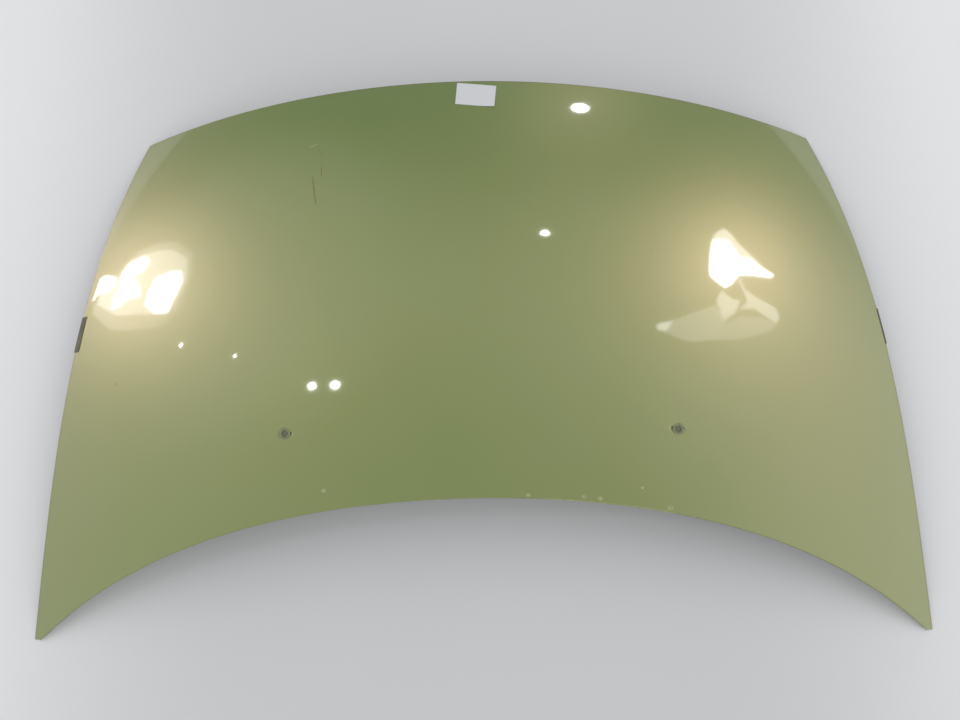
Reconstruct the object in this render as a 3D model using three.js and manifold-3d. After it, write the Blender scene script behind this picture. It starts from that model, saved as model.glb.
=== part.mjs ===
// A car bonnet: a pressed outer skin hemmed around a ribbed inner frame, with its striker, hinge
// seats, washer jets, buffers, stops, plugs and mastic pads.
// Millimetres, +Z up, +Y towards the nose. It lies outer side up on its four corners.
//
// Most pieces are drawn flat, in x, y and a depth below the outer surface, and are then draped
// under that surface, the way the real sheets are pressed to follow each other.

import * as THREE from 'three';
import { mergeVertices } from 'three/addons/utils/BufferGeometryUtils.js';
import Module from 'manifold-3d';

const wasm = await Module();
wasm.setup();

// Outline
const overallLength = 919;        // tips to nose
const centreLength = 708;         // rear edge to nose, on the centre line
const widthAtTips = 1425.6;
const widthAtHinges = 1380.3;     // at hingeLineY
const widthAtMiddle = 1336.6;     // at middleY
const widthAtCorners = 1189.4;    // at the front corners
const hingeLineY = -230;
const middleY = 0;
const cornerSetback = 71.8;       // nose to front corners, along Y
const noseFlatness = 0.388;       // share of the nose curve that is of fourth order
const archRoll = 0.317;           // the same for the arched rear edge
const tipWidth = 12;              // blunt end of each tip

// Height of the outer surface
const crownRear = 149.8;          // centre line, at the rear edge
const crownMiddle = 171.8;        // at middleY
const crownForward = 152.1;       // at forwardY
const crownNose = 80.4;           // at the nose
const forwardY = 230;
const sideRise = 45;              // side edge above the line from tip to front corner
const edgeRoll = 0.38;            // share of the cross curve that is of fourth order

// Sheets and hem
const skinGauge = 0.7;
const frameGauge = 0.6;
const hemClearance = 0.5;
const hemReturn = 10;             // width of the folded flange
const hemReturnAtTip = 2.6;
const hemWidening = 0.3;          // growth of the flange with the distance from a tip
const fitGap = 0.3;
const facetSag = 0.25;            // how far the flat facets can lie inside the smooth surface

// Inner frame
const plateDepth = 4;             // outer surface to the frame around its cut-outs
const channelDepth = 20;          // outer surface to the bottom of channels and ribs
const channelLeastDepth = 6;
const channelDepthShare = 0.45;   // of the height above the floor, near the corners
const channelOuter = 14;          // edge to the mouth of the edge channel
const channelInner = 68;
const channelWallRun = 6;         // sideways run of a channel's drafted wall
const ribMouth = 70;
const crossRibMouth = 62;
const centreRibMouth = 46;
const ribWallRun = 9;
const cellFlange = 14;            // rib mouth to the cut-out beside it
const cellCorner = 26;            // corner radius of a cut-out
const crossRibY = 60;
const ribFrontX = 70;
const ribFrontSetback = 59.5;     // nose to the front end of the V ribs
const ribRearX = 470;
const ribRearSetback = 1.5;       // rear edge to the rear end of the V ribs
const latchPanelWidth = 230;
const latchPanelLength = 96;
const latchPanelSetback = 75.5;   // nose to the panel's middle
const hingeLand = 90;             // side cut-outs to the middle of the hinge seats

// Seats: flat pads pressed a little deeper than the channels
const seatDepth = 24;
const seatWallRun = 4;
const strikerSetback = 57.5;      // nose to the striker seat
const strikerSeatWidth = 124;
const strikerSeatLength = 44;
const hingeSeatInset = 106.8;     // tip to hinge seat, along X
const hingeSetback = 137.5;       // tip to hinge seat, along Y
const hingeSeatWidth = 44;
const hingeSeatLength = 64;
const screwPitchStriker = 88;
const screwPitchHinge = 36;

// Fasteners
const screwRadius = 4;
const screwHole = 4.5;
const nutAcrossFlats = 13;
const nutHeight = 6.5;
const headHeight = 5.5;
const washerFaceRadius = 8.5;
const washerFaceHeight = 1.4;
const screwPoint = 1;             // screw's end past its nut
const reinforcementGauge = 1.6;
const reinforcementMargin = 3;    // seat edge to plate edge
const plateCorner = 6;
const cutPast = 1;                // how far a cutting tool runs past a sheet

// Striker
const strikerPlateGauge = 2.5;
const strikerRod = 8;
const strikerSpan = 34;           // between the centres of the rod's legs
const strikerHeight = 34;
const strikerBend = 9;            // reach of its two bends
const strikerSteps = 14;

// Washer jets
const jetX = 289;
const jetSetback = 96.9;          // rear edge to the jets
const jetHole = 7.2;
const jetHeadRadius = 8.2;
const jetSkirtHeight = 0.7;
const jetRimRadius = 6.3;
const jetRimHeight = 1.6;
const jetPocketRadius = 4.8;
const jetPocketDepth = 2.2;
const jetBallRadius = 1.9;
const jetDrop = 14;               // length of the jet below the skin
const jetBodyRadius = 5;
const jetBarbRadius = 2.4;
const jetBarbLength = 13;
const jetBarbRise = 1;            // barb above the jet's lower end
const jetRidgeRadius = 3.2;
const jetRidgeLength = 2.5;
const jetSealRadius = 12;
const jetSealHeight = 1.6;
const jetSpray = 0.5;             // radius of the spray opening
const jetSprayDepth = 3;

// Side buffers
const bufferLength = 60;
const bufferY = 26;
const bufferWall = 1.4;
const bufferOverlap = 6;          // reach over the outer side
const bufferUnderlap = 9;         // reach under the hem

// Bump stops, prop socket, plugs, mastic
const stopX = 440;
const stopRadius = 12;
const stopHeight = 13;
const stopStemRadius = 5;
const stopStemLength = 12;        // through the channel's bottom
const stopStemTaper = 3;          // length of the stem's pointed end
const propY = 190;
const socketRadius = 8;
const socketBore = 5;
const socketFlange = 12;
const plugX = 297;                // on the front channel
const plugY = -94;                // on the side channels
const plugRadius = 10;
const plugFlange = 12.5;
const plugThickness = 1.6;
const plugLip = 3;
const mouldedWall = 1.5;
const masticSides = 8;
const masticSpread = 2.2;         // pads beside the V ribs, in widths of the cross rib
const masticReach = 1.6;          // pads beside the cross rib, in shares of the V ribs' distance
const masticInner = 0.33;
const frameEdgeGap = 1.1;         // inside of the hem fold to the frame's edge

// Facets
const skinColumns = 13;           // from the centre line to the inner corner of a tip
const skinRows = 16;
const columnCrowding = 0.25;      // how much closer the columns stand at the sides
const leastStep = 0.05;           // smaller steps of the flat frame are dropped
const sameStep = 1e-4;            // closer corners are one corner
const cornerSteps = 4;            // facets of a rounded corner
const leastTurn = 0.3;            // corners that turn less stay as they are
const bufferSteps = 4;
const frameGrid = 110;            // facets of the frame end at the lines of this grid
const frameSagAtFit = 0.45;       // how far a facet may lie off its smooth form at a fit
const ringFrontSteps = 16;
const ringSideSteps = 10;
const ringRearSteps = 18;
const ringCornerCut = 16;         // rounding of the edge channel's corners
const roundSides = 16;
const smallSides = 10;

// Worked out from the sizes above
const noseY = overallLength / 2;
const tipY = -overallLength / 2;
const rearY = noseY - centreLength;
const cornerY = noseY - cornerSetback;
const rearHalf = widthAtTips / 2 - tipWidth;
const frontHalf = widthAtCorners / 2;
const hemThickness = 2 * skinGauge + 2 * hemClearance + frameGauge;
const flangeDepth = skinGauge + hemClearance;
const ribFrontY = noseY - ribFrontSetback;
const ribRearY = rearY - ribRearSetback;
const latchPanelY = noseY - latchPanelSetback;
const strikerSeatY = noseY - strikerSetback;
const hingeSeatX = widthAtTips / 2 - hingeSeatInset;
const hingeSeatY = tipY + hingeSetback;
const hingeLandY = hingeSeatY + hingeLand;
const jetY = rearY + jetSetback;
const ribLean = (ribRearX - ribFrontX) / (ribFrontY - ribRearY);

// The curve through a few points, as the lowest polynomial that meets them all.
function through(points) {
  return (y) => points.reduce((sum, [yi, value], i) => {
    const others = points.filter((_, j) => j !== i);
    return sum + value * others.reduce((share, [yj]) => share * (y - yj) / (yi - yj), 1);
  }, 0);
}

const halfWidth = through([
  [tipY, widthAtTips / 2],
  [hingeLineY, widthAtHinges / 2],
  [middleY, widthAtMiddle / 2],
  [cornerY, widthAtCorners / 2],
]);

const crown = through([
  [rearY, crownRear],
  [middleY, crownMiddle],
  [forwardY, crownForward],
  [noseY, crownNose],
]);

const mixed = (t, share) => (1 - share) * t * t + share * t ** 4;

const sideLine = (y) => 4 * sideRise * (y - tipY) * (cornerY - y) / (cornerY - tipY) ** 2;

// The nose curve falls faster than a parabola near the centre and flattens towards its corners.
const frontEdge = (x) => noseY - cornerSetback * mixed(x / frontHalf, -noseFlatness);

const rearArch = (x) => rearY - (rearY - tipY) * mixed(x / rearHalf, archRoll);
const rearEdge = (x) => Math.max(rearArch(x), tipY);

function surface(x, y) {
  const t = x / halfWidth(y);
  return crown(y) - (crown(y) - sideLine(y)) * mixed(t, edgeRoll);
}

const tiny = 0.01;
const slope = (f, s) => (f(s + tiny) - f(s - tiny)) / (2 * tiny);

function normalAt(x, y) {
  const dx = slope((s) => surface(s, y), x);
  const dy = slope((s) => surface(x, s), y);
  return new THREE.Vector3(-dx, -dy, 1).normalize();
}

// A point at some depth below the outer surface.
function under(x, y, depth) {
  return new THREE.Vector3(x, y, surface(x, y)).addScaledVector(normalAt(x, y), -depth);
}

// Upright frame on the surface: x towards the right, z out of the surface.
function seatFrame(x, y) {
  const z = normalAt(x, y);
  const across = new THREE.Vector3(1, 0, slope((s) => surface(s, y), x)).normalize();
  const along = z.clone().cross(across);
  return new THREE.Matrix4().makeBasis(across, along, z).setPosition(x, y, surface(x, y));
}

// Solids
function solidOf(geometry) {
  const bare = geometry.clone();
  bare.deleteAttribute('normal');
  bare.deleteAttribute('uv');
  const merged = mergeVertices(bare, sameStep);
  return new wasm.Manifold(new wasm.Mesh({
    numProp: 3,
    vertProperties: new Float32Array(merged.attributes.position.array),
    triVerts: new Uint32Array(merged.index.array),
  }));
}

function geometryOf(solid) {
  const mesh = solid.getMesh();
  const geometry = new THREE.BufferGeometry();
  geometry.setAttribute('position', new THREE.BufferAttribute(mesh.vertProperties, 3));
  geometry.setIndex(new THREE.BufferAttribute(mesh.triVerts, 1));
  return geometry;
}

const joined = (solids) => solids.reduce((whole, solid) => whole.add(solid));

// A closed solid skinned over loops of equal length, capped at both ends or closed on itself.
function skinned(loops, { ring = false, cap = null } = {}) {
  const count = loops[0].length;
  const position = loops.flat().flatMap((p) => [p.x, p.y, p.z]);
  const index = [];
  const bands = ring ? loops.length : loops.length - 1;
  for (let i = 0; i < bands; i++) {
    const next = (i + 1) % loops.length;
    for (let j = 0; j < count; j++) {
      const k = (j + 1) % count;
      const [a, b, c, d] = [i * count + j, i * count + k, next * count + k, next * count + j];
      index.push(a, b, c, a, c, d);
    }
  }
  if (!ring) {
    const faces = THREE.ShapeUtils.triangulateShape(cap, []);
    const last = (loops.length - 1) * count;
    for (const face of faces) {
      const [a, b, c] = THREE.ShapeUtils.isClockWise(cap) ? face.reverse() : face;
      index.push(c, b, a, last + a, last + b, last + c);
    }
  }
  const geometry = new THREE.BufferGeometry();
  geometry.setAttribute('position', new THREE.Float32BufferAttribute(position, 3));
  geometry.setIndex(index);
  return outward(geometry);
}

// Turns a closed mesh the right way out, by the sign of its volume.
function outward(geometry) {
  const p = geometry.attributes.position;
  const index = geometry.index.array;
  const [a, b, c] = [new THREE.Vector3(), new THREE.Vector3(), new THREE.Vector3()];
  let volume = 0;
  for (let i = 0; i < index.length; i += 3) {
    a.fromBufferAttribute(p, index[i]);
    b.fromBufferAttribute(p, index[i + 1]);
    c.fromBufferAttribute(p, index[i + 2]);
    volume += a.dot(b.cross(c));
  }
  if (volume < 0) {
    for (let i = 0; i < index.length; i += 3) {
      [index[i + 1], index[i + 2]] = [index[i + 2], index[i + 1]];
    }
  }
  return geometry;
}

const flat = (loop, depth) => loop.map((p) => new THREE.Vector3(p.x, p.y, depth));

// A straight prism over a flat outline, between two depths.
function prism(loop, from, to) {
  const shape = new THREE.Shape(loop);
  const body = new THREE.ExtrudeGeometry(shape, { depth: to - from, bevelEnabled: false });
  return solidOf(body.translate(0, 0, from));
}

// A drafted prism: one outline at the first depth and a like one at the second.
const drafted = (loopFrom, loopTo, from, to) => solidOf(
  skinned([flat(loopFrom, from), flat(loopTo, to)], { cap: loopFrom }));

function rectangle(cx, cy, halfX, halfY, turn = 0) {
  return [[-1, -1], [1, -1], [1, 1], [-1, 1]].map(([sx, sy]) => new THREE.Vector2(
    sx * halfX, sy * halfY).rotateAround(new THREE.Vector2(), turn).add(new THREE.Vector2(cx, cy)));
}

function circle(cx, cy, radius, sides) {
  return Array.from({ length: sides }, (_, i) => {
    const angle = 2 * Math.PI * i / sides;
    return new THREE.Vector2(cx + radius * Math.cos(angle), cy + radius * Math.sin(angle));
  });
}

// Rounds every sharp corner of a flat outline with a short curve.
function rounded(loop, radius) {
  const result = [];
  loop.forEach((corner, i) => {
    const before = loop[(i + loop.length - 1) % loop.length];
    const after = loop[(i + 1) % loop.length];
    const back = before.clone().sub(corner);
    const ahead = after.clone().sub(corner);
    const turn = Math.PI - Math.abs(back.angleTo(ahead));
    if (turn < leastTurn) {
      result.push(corner);
      return;
    }
    const cut = Math.min(radius * Math.tan(turn / 2), back.length() / 2.2, ahead.length() / 2.2);
    const start = corner.clone().addScaledVector(back.normalize(), cut);
    const end = corner.clone().addScaledVector(ahead.normalize(), cut);
    const curve = new THREE.QuadraticBezierCurve(start, corner, end);
    result.push(...curve.getPoints(cornerSteps));
  });
  return result;
}

// Keeps the part of a flat outline on one side of the line through a point.
function clipped(loop, point, inward) {
  const side = (p) => p.clone().sub(point).dot(inward);
  const result = [];
  loop.forEach((p, i) => {
    const q = loop[(i + 1) % loop.length];
    const [a, b] = [side(p), side(q)];
    if (a >= 0) result.push(p);
    if (a * b < 0) result.push(p.clone().lerp(q, a / (a - b)));
  });
  return result;
}

// The bonnet's edge
// Columns run from rear to front at a constant share of the half width.
function meeting(edge, u, width = halfWidth) {
  let y = edge(0);
  for (let i = 0; i < 40; i++) y = edge(u * width(y));
  return y;
}

function columnShares() {
  const inner = rearHalf / halfWidth(tipY);
  const half = Array.from({ length: skinColumns }, (_, i) => {
    const s = (i + 1) / skinColumns;
    return inner * ((1 + columnCrowding) * s - columnCrowding * s ** 3);
  });
  const right = [...half, 1];
  return [...right.slice().reverse().map((u) => -u), 0, ...right];
}

const shares = columnShares();

function gridPoint(u, v) {
  const rear = meeting(rearEdge, u);
  const front = meeting(frontEdge, u);
  const y = rear + v * (front - rear);
  return new THREE.Vector2(u * halfWidth(y), y);
}

// Stations go round the edge: front from left to right, right side, rear, left side.
function edgeStations() {
  const last = shares.length - 1;
  const stations = [];
  for (let i = 0; i < last; i++) stations.push([i, skinRows]);
  for (let j = skinRows; j > 0; j--) stations.push([last, j]);
  for (let i = last; i > 0; i--) stations.push([i, 0]);
  for (let j = 0; j < skinRows; j++) stations.push([0, j]);
  return stations;
}

const stations = edgeStations();
const edgePoints = stations.map(([i, j]) => gridPoint(shares[i], j / skinRows));

// Inward step at each station that moves both neighbouring edges by one millimetre.
const edgeInward = edgePoints.map((p, i) => {
  const before = edgePoints[(i + edgePoints.length - 1) % edgePoints.length];
  const after = edgePoints[(i + 1) % edgePoints.length];
  const a = p.clone().sub(before).normalize();
  const b = after.clone().sub(p).normalize();
  const normalA = new THREE.Vector2(a.y, -a.x);
  const normalB = new THREE.Vector2(b.y, -b.x);
  const middle = normalA.clone().add(normalB).normalize();
  return middle.divideScalar(middle.dot(normalA));
});

const inset = (distance) => edgePoints.map((p, i) => p.clone().addScaledVector(
  edgeInward[i], typeof distance === 'number' ? distance : distance[i]));

// Width of the folded flange at each station: it narrows towards the tips.
const returnWidths = edgePoints.map((p) => {
  const toTip = Math.hypot(rearHalf - Math.abs(p.x), p.y - tipY);
  return Math.min(hemReturn, hemReturnAtTip + hemWidening * toTip);
});

// The outer skin is one sheet: its outer side, the fold around the edge, the flange that comes
// back under the frame, and its inner side.
function outerSkin() {
  const outside = hemThickness / 2;
  const inside = outside - skinGauge;
  const cut = Math.SQRT1_2;
  const fold = [
    [outside * (1 - cut), outside * (1 - cut)],
    [0, outside],
    [outside * (1 - cut), outside * (1 + cut)],
    [outside, hemThickness],
    [returnWidths, hemThickness],
    [returnWidths, hemThickness - skinGauge],
    [outside, hemThickness - skinGauge],
    [outside - inside, outside],
  ];
  const position = [];
  const add = (p, depth) => {
    position.push(...under(p.x, p.y, depth).toArray());
    return position.length / 3 - 1;
  };
  const rim = inset(outside);
  const stationOf = new Map(stations.map(([i, j], k) => [`${i},${j}`, k]));
  const sheet = (depth) => shares.map((u, i) => Array.from({ length: skinRows + 1 }, (_, j) => {
    const k = stationOf.get(`${i},${j}`);
    return add(k === undefined ? gridPoint(u, j / skinRows) : rim[k], depth);
  }));
  const top = sheet(0);
  const bottom = sheet(skinGauge);
  const index = [];
  const quad = (a, b, c, d) => index.push(a, b, c, a, c, d);
  for (let i = 0; i + 1 < shares.length; i++) {
    for (let j = 0; j < skinRows; j++) {
      const upper = [top[i][j], top[i + 1][j], top[i + 1][j + 1], top[i][j + 1]];
      const lower = [bottom[i][j], bottom[i][j + 1], bottom[i + 1][j + 1], bottom[i + 1][j]];
      if (shares[i] < 0) {
        upper.push(upper.shift());
        lower.push(lower.shift());
      }
      quad(...upper);
      quad(...lower);
    }
  }
  const rings = [
    stations.map(([i, j]) => top[i][j]),
    ...fold.map(([distance, depth]) => inset(distance).map((p) => add(p, depth))),
    stations.map(([i, j]) => bottom[i][j]),
  ];
  for (let r = 0; r + 1 < rings.length; r++) {
    for (let k = 0; k < stations.length; k++) {
      const next = (k + 1) % stations.length;
      quad(rings[r][k], rings[r][next], rings[r + 1][next], rings[r + 1][k]);
    }
  }
  const geometry = new THREE.BufferGeometry();
  geometry.setAttribute('position', new THREE.Float32BufferAttribute(position, 3));
  geometry.setIndex(index);
  let skin = solidOf(outward(geometry));
  for (const side of [-1, 1]) {
    const hole = new THREE.CylinderGeometry(jetHole, jetHole, 8 * skinGauge, roundSides);
    hole.rotateX(Math.PI / 2).applyMatrix4(seatFrame(side * jetX, jetY));
    skin = skin.subtract(solidOf(hole));
  }
  return geometryOf(skin);
}

// The edge channel's stations, at any distance in from the edge.
const stretched = (f, s) => Math.hypot(1, slope(f, s));
const sideAt = (y, d) => halfWidth(y) - d * stretched(halfWidth, y);
const rearAt = (x, d) => rearArch(x) + d * stretched(rearArch, x);
const frontAt = (x, d) => frontEdge(x) - d * stretched(frontEdge, x);

function ringStation(side, s, d) {
  const rear = meeting((x) => rearAt(x, d), 1, (y) => sideAt(y, d));
  const front = meeting((x) => frontAt(x, d), 1, (y) => sideAt(y, d));
  if (side === 'right' || side === 'left') {
    const y = side === 'right' ? rear + s * (front - rear) : front + s * (rear - front);
    const x = sideAt(y, d);
    return new THREE.Vector2(side === 'right' ? x : -x, y);
  }
  const half = sideAt(side === 'front' ? front : rear, d);
  const x = side === 'front' ? half * (1 - 2 * s) : half * (2 * s - 1);
  return new THREE.Vector2(x, side === 'front' ? frontAt(x, d) : rearAt(x, d));
}

const ringSides = [
  ['right', ringSideSteps],
  ['front', ringFrontSteps],
  ['left', ringSideSteps],
  ['rear', ringRearSteps],
];

// Stations as functions of the distance in: even steps on each side, and one rounded corner
// between each side and the next.
function ringFamily() {
  const family = [];
  ringSides.forEach(([side, steps], i) => {
    const [next] = ringSides[(i + 1) % ringSides.length];
    const length = side === 'right' || side === 'left' ? cornerY - tipY : 2 * frontHalf;
    const nextLength = next === 'right' || next === 'left' ? cornerY - tipY : 2 * frontHalf;
    const end = ringCornerCut / length;
    const start = ringCornerCut / nextLength;
    for (let k = 0; k <= steps; k++) {
      const s = end + (1 - 2 * end) * k / steps;
      family.push((d) => ringStation(side, s, d));
    }
    family.push((d) => new THREE.QuadraticBezierCurve(
      ringStation(side, 1 - end, d), ringStation(side, 1, d), ringStation(next, start, d)).getPoint(0.5));
  });
  return family;
}

const ring = ringFamily();
const ringLoop = (d) => ring.map((station) => station(d));

// Depth of the edge channel: it gets shallower where the bonnet comes down to its corners.
const depthAt = (p) => THREE.MathUtils.clamp(
  channelDepthShare * surface(p.x, p.y), channelLeastDepth, channelDepth);

// The frame is what lies between two nested shapes: 'lower' bounds its underside and 'upper'
// its side towards the skin. Each is a slab with the channels and ribs standing on it.
function edgeChannel(gauge) {
  const draft = channelWallRun / channelDepth;
  const wall = (frameGauge - gauge) * Math.hypot(1, draft);
  const mouth = gauge - frameGauge;
  const loops = ring.map((station) => {
    const middle = station((channelOuter + channelInner) / 2);
    const bottom = depthAt(middle) + gauge;
    const corner = (edge, sign, depth) => {
      const p = station(edge + sign * (wall + draft * depth));
      return new THREE.Vector3(p.x, p.y, depth);
    };
    return [
      corner(channelOuter, 1, mouth),
      corner(channelOuter, 1, bottom),
      corner(channelInner, -1, bottom),
      corner(channelInner, -1, mouth),
    ];
  });
  return solidOf(skinned(loops, { ring: true }));
}

// A straight channel, drawn as its mouth half width between two ends.
function straightChannel(from, to, mouthWidth, gauge) {
  const along = to.clone().sub(from).normalize();
  const across = new THREE.Vector2(-along.y, along.x);
  const draft = ribWallRun / channelDepth;
  const wall = (frameGauge - gauge) * Math.hypot(1, draft);
  const top = gauge - frameGauge;
  const bottom = channelDepth + gauge;
  const loop = (depth) => {
    const half = mouthWidth / 2 - wall - draft * depth;
    const ends = [from.clone(), to.clone()];
    return [[0, -1], [1, -1], [1, 1], [0, 1]].map(
      ([end, sign]) => ends[end].clone().addScaledVector(across, sign * half));
  };
  return drafted(loop(top), loop(bottom), top, bottom);
}

const at = (x, y) => new THREE.Vector2(x, y);
const ribX = (y) => ribFrontX + (ribFrontY - y) * ribLean;

function ribs(gauge) {
  const sideReach = halfWidth(crossRibY) - (channelOuter + channelInner) / 2;
  const rearReach = rearY + (channelOuter + channelInner) / 2;
  const past = ribRearY - (channelInner - channelOuter) / 2;
  return [
    ...[-1, 1].map((side) => straightChannel(
      at(side * ribFrontX, ribFrontY), at(side * ribX(past), past), ribMouth, gauge)),
    straightChannel(at(-sideReach, crossRibY), at(sideReach, crossRibY), crossRibMouth, gauge),
    straightChannel(at(0, crossRibY), at(0, rearReach), centreRibMouth, gauge),
    straightChannel(at(-latchPanelWidth / 2, latchPanelY), at(latchPanelWidth / 2, latchPanelY),
      latchPanelLength, gauge),
  ];
}

const seats = [
  { name: 'striker', x: 0, y: strikerSeatY, halfX: strikerSeatWidth / 2, halfY: strikerSeatLength / 2 },
  ...[-1, 1].map((side) => ({
    name: side < 0 ? 'hinge_left' : 'hinge_right',
    x: side * hingeSeatX,
    y: hingeSeatY,
    halfX: hingeSeatWidth / 2,
    halfY: hingeSeatLength / 2,
  })),
];

function seatPad(seat, gauge) {
  const wall = frameGauge - gauge;
  const top = gauge - frameGauge;
  const bottom = seatDepth + gauge;
  const widened = seatWallRun * (bottom - top) / (seatDepth - channelDepth);
  const reach = Math.min(widened, 2 * seatWallRun);
  const mouth = rectangle(seat.x, seat.y, seat.halfX + reach - wall, seat.halfY + reach - wall);
  const pad = rectangle(seat.x, seat.y, seat.halfX - wall, seat.halfY - wall);
  return drafted(mouth, pad, top, bottom);
}

function framePart(gauge) {
  const flange = gauge > 0 ? inset(skinGauge + frameEdgeGap) : inset(-2 * hemThickness);
  const mouth = gauge - frameGauge;
  const plate = ringLoop(channelInner - channelWallRun);
  return joined([
    prism(flange, mouth, flangeDepth + gauge),
    prism(plate, mouth, plateDepth + gauge),
    edgeChannel(gauge),
    ...ribs(gauge),
    ...seats.map((seat) => seatPad(seat, gauge)),
  ]);
}

// Cut-outs fill the cells between the ribs, a flange's width clear of every channel mouth.
function cells() {
  const field = ringLoop(channelInner + cellFlange);
  const ribClear = ribMouth / 2 + cellFlange;
  const crossClear = crossRibMouth / 2 + cellFlange;
  const centreClear = centreRibMouth / 2 + cellFlange;
  const latchClear = latchPanelY - latchPanelLength / 2 - cellFlange;
  const outOfRib = (side) => at(side, ribLean).normalize();
  const ribPoint = (side, sign) => at(side * ribFrontX, ribFrontY).addScaledVector(
    outOfRib(side), sign * ribClear);
  const outsideRib = (loop, side) => clipped(loop, ribPoint(side, 1), outOfRib(side));
  const insideRib = (loop, side) => clipped(loop, ribPoint(side, -1), outOfRib(side).negate());
  const ahead = (loop) => clipped(loop, at(0, crossRibY + crossClear), at(0, 1));
  const behind = (loop) => clipped(loop, at(0, crossRibY - crossClear), at(0, -1));
  const both = [-1, 1];
  return [
    clipped(insideRib(insideRib(ahead(field), -1), 1), at(0, latchClear), at(0, -1)),
    ...both.map((side) => insideRib(clipped(behind(field), at(side * centreClear, 0), at(side, 0)), side)),
    ...both.map((side) => outsideRib(ahead(field), side)),
    ...both.map((side) => clipped(outsideRib(behind(field), side), at(0, hingeLandY), at(0, 1))),
  ];
}

const cellLoops = cells();

// Places on the frame's channel bottoms
const channelMiddle = (channelOuter + channelInner) / 2;
const frameStops = [-1, 1].map((side) => at(side * stopX, frontAt(stopX, channelMiddle)));
const propPlace = at(-ribX(propY), propY);
const plugPlaces = [-1, 1].flatMap((side) => [
  at(side * sideAt(plugY, channelMiddle), plugY),
  at(side * plugX, frontAt(plugX, channelMiddle)),
]);

const seatOf = (name) => seats.find((seat) => seat.name === name);
const screwPlaces = (seat) => [-1, 1].map((sign) => (seat.name === 'striker'
  ? at(seat.x + sign * screwPitchStriker / 2, seat.y)
  : at(seat.x, seat.y + sign * screwPitchHinge / 2)));

function flatFrame() {
  const hole = (p, radius, sides = smallSides) => prism(
    circle(p.x, p.y, radius, sides), channelDepth / 2, seatDepth + 2 * frameGauge);
  const cuts = [
    ...cellLoops.map((loop) => prism(
      rounded(loop, cellCorner), plateDepth - cutPast, plateDepth + frameGauge + cutPast)),
    ...seats.flatMap((seat) => screwPlaces(seat).map((p) => hole(p, screwHole))),
    ...frameStops.map((p) => hole(p, stopStemRadius + fitGap)),
    hole(propPlace, socketRadius + fitGap, roundSides),
    ...plugPlaces.map((p) => hole(p, plugRadius, roundSides)),
  ];
  return framePart(frameGauge).subtract(framePart(0)).subtract(joined(cuts)).simplify(leastStep);
}

const fittings = [...frameStops, propPlace, ...plugPlaces];

// Whether an edge passes close to a fitted piece.
function passesFitting(a, b) {
  const edge = new THREE.Line3(new THREE.Vector3(a.x, a.y, 0), new THREE.Vector3(b.x, b.y, 0));
  return fittings.some((q) => {
    const place = new THREE.Vector3(q.x, q.y, 0);
    return edge.closestPointToPoint(place, true, new THREE.Vector3()).distanceTo(place) < 2 * plugFlange;
  });
}

// How many times more than allowed an edge sags once it is draped, in the hem or at a fitting.
function excess(a, b) {
  if (Math.min(a.z, b.z) > plateDepth / 2 && !passesFitting(a, b)) return 0;
  const middle = a.clone().add(b).multiplyScalar(0.5);
  const chord = under(...a).add(under(...b)).multiplyScalar(0.5);
  return chord.distanceTo(under(...middle)) / frameSagAtFit;
}

// The part of a convex facet between two lines across an axis.
function strip(facet, axis, low, high) {
  const keep = (points, line, sign) => points.flatMap((p, i) => {
    const q = points[(i + 1) % points.length];
    const [a, b] = [sign * (p[axis] - line), sign * (q[axis] - line)];
    const result = a >= 0 ? [p] : [];
    if (a * b < 0) {
      const [from, to] = p[axis] < q[axis] ? [p, q] : [q, p];
      const point = from.clone().lerp(to, (line - from[axis]) / (to[axis] - from[axis]));
      point[axis] = line;
      result.push(point);
    }
    return result;
  });
  return keep(keep(facet, low, 1), high, -1);
}

function stripsOf(facet, axis) {
  const places = facet.map((p) => p[axis] / frameGrid);
  const first = Math.floor(Math.min(...places));
  const last = Math.ceil(Math.max(...places));
  const strips = [];
  for (let k = first; k < Math.max(last, first + 1); k++) {
    strips.push(strip(facet, axis, k * frameGrid, (k + 1) * frameGrid));
  }
  return strips.filter((points) => points.length > 2);
}

// Cuts the facets of a flat piece along a square grid, so that both sides of the sheet bend alike.
function gridded(geometry) {
  const p = geometry.toNonIndexed().attributes.position;
  const result = [];
  for (let i = 0; i < p.count; i += 3) {
    const facet = [0, 1, 2].map((k) => new THREE.Vector3().fromBufferAttribute(p, i + k));
    const pieces = stripsOf(facet, 'x').flatMap((piece) => stripsOf(piece, 'y'));
    for (const piece of pieces) {
      for (let k = 1; k + 1 < piece.length; k++) {
        result.push(...piece[0].toArray(), ...piece[k].toArray(), ...piece[k + 1].toArray());
      }
    }
  }
  const cut = new THREE.BufferGeometry();
  cut.setAttribute('position', new THREE.Float32BufferAttribute(result, 3));
  return cut;
}

// Splits long edges at their middles, so that a flat piece can follow the surface.
function refined(geometry) {
  const source = geometry.index ? geometry.toNonIndexed() : geometry;
  const p = source.attributes.position;
  const result = [];
  const split = (a, b, c) => {
    const [ab, bc, ca] = [excess(a, b), excess(b, c), excess(c, a)];
    const most = Math.max(ab, bc, ca);
    if (most <= 1) {
      result.push(...a.toArray(), ...b.toArray(), ...c.toArray());
    } else if (most === ab) {
      const m = a.clone().add(b).multiplyScalar(0.5);
      split(a, m, c);
      split(m, b, c);
    } else if (most === bc) {
      split(b, c, a);
    } else {
      split(c, a, b);
    }
  };
  for (let i = 0; i < p.count; i += 3) {
    split(...[0, 1, 2].map((k) => new THREE.Vector3().fromBufferAttribute(p, i + k)));
  }
  const fine = new THREE.BufferGeometry();
  fine.setAttribute('position', new THREE.Float32BufferAttribute(result, 3));
  return fine;
}

// Drapes a flat piece. Seats are kept truly flat: their points move in the seat's own frame.
const insideSeat = (p, depth) => seats.find((seat) => depth > seatDepth - frameGauge / 2
  && Math.abs(p.x - seat.x) < seat.halfX + 1 && Math.abs(p.y - seat.y) < seat.halfY + 1);

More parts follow.
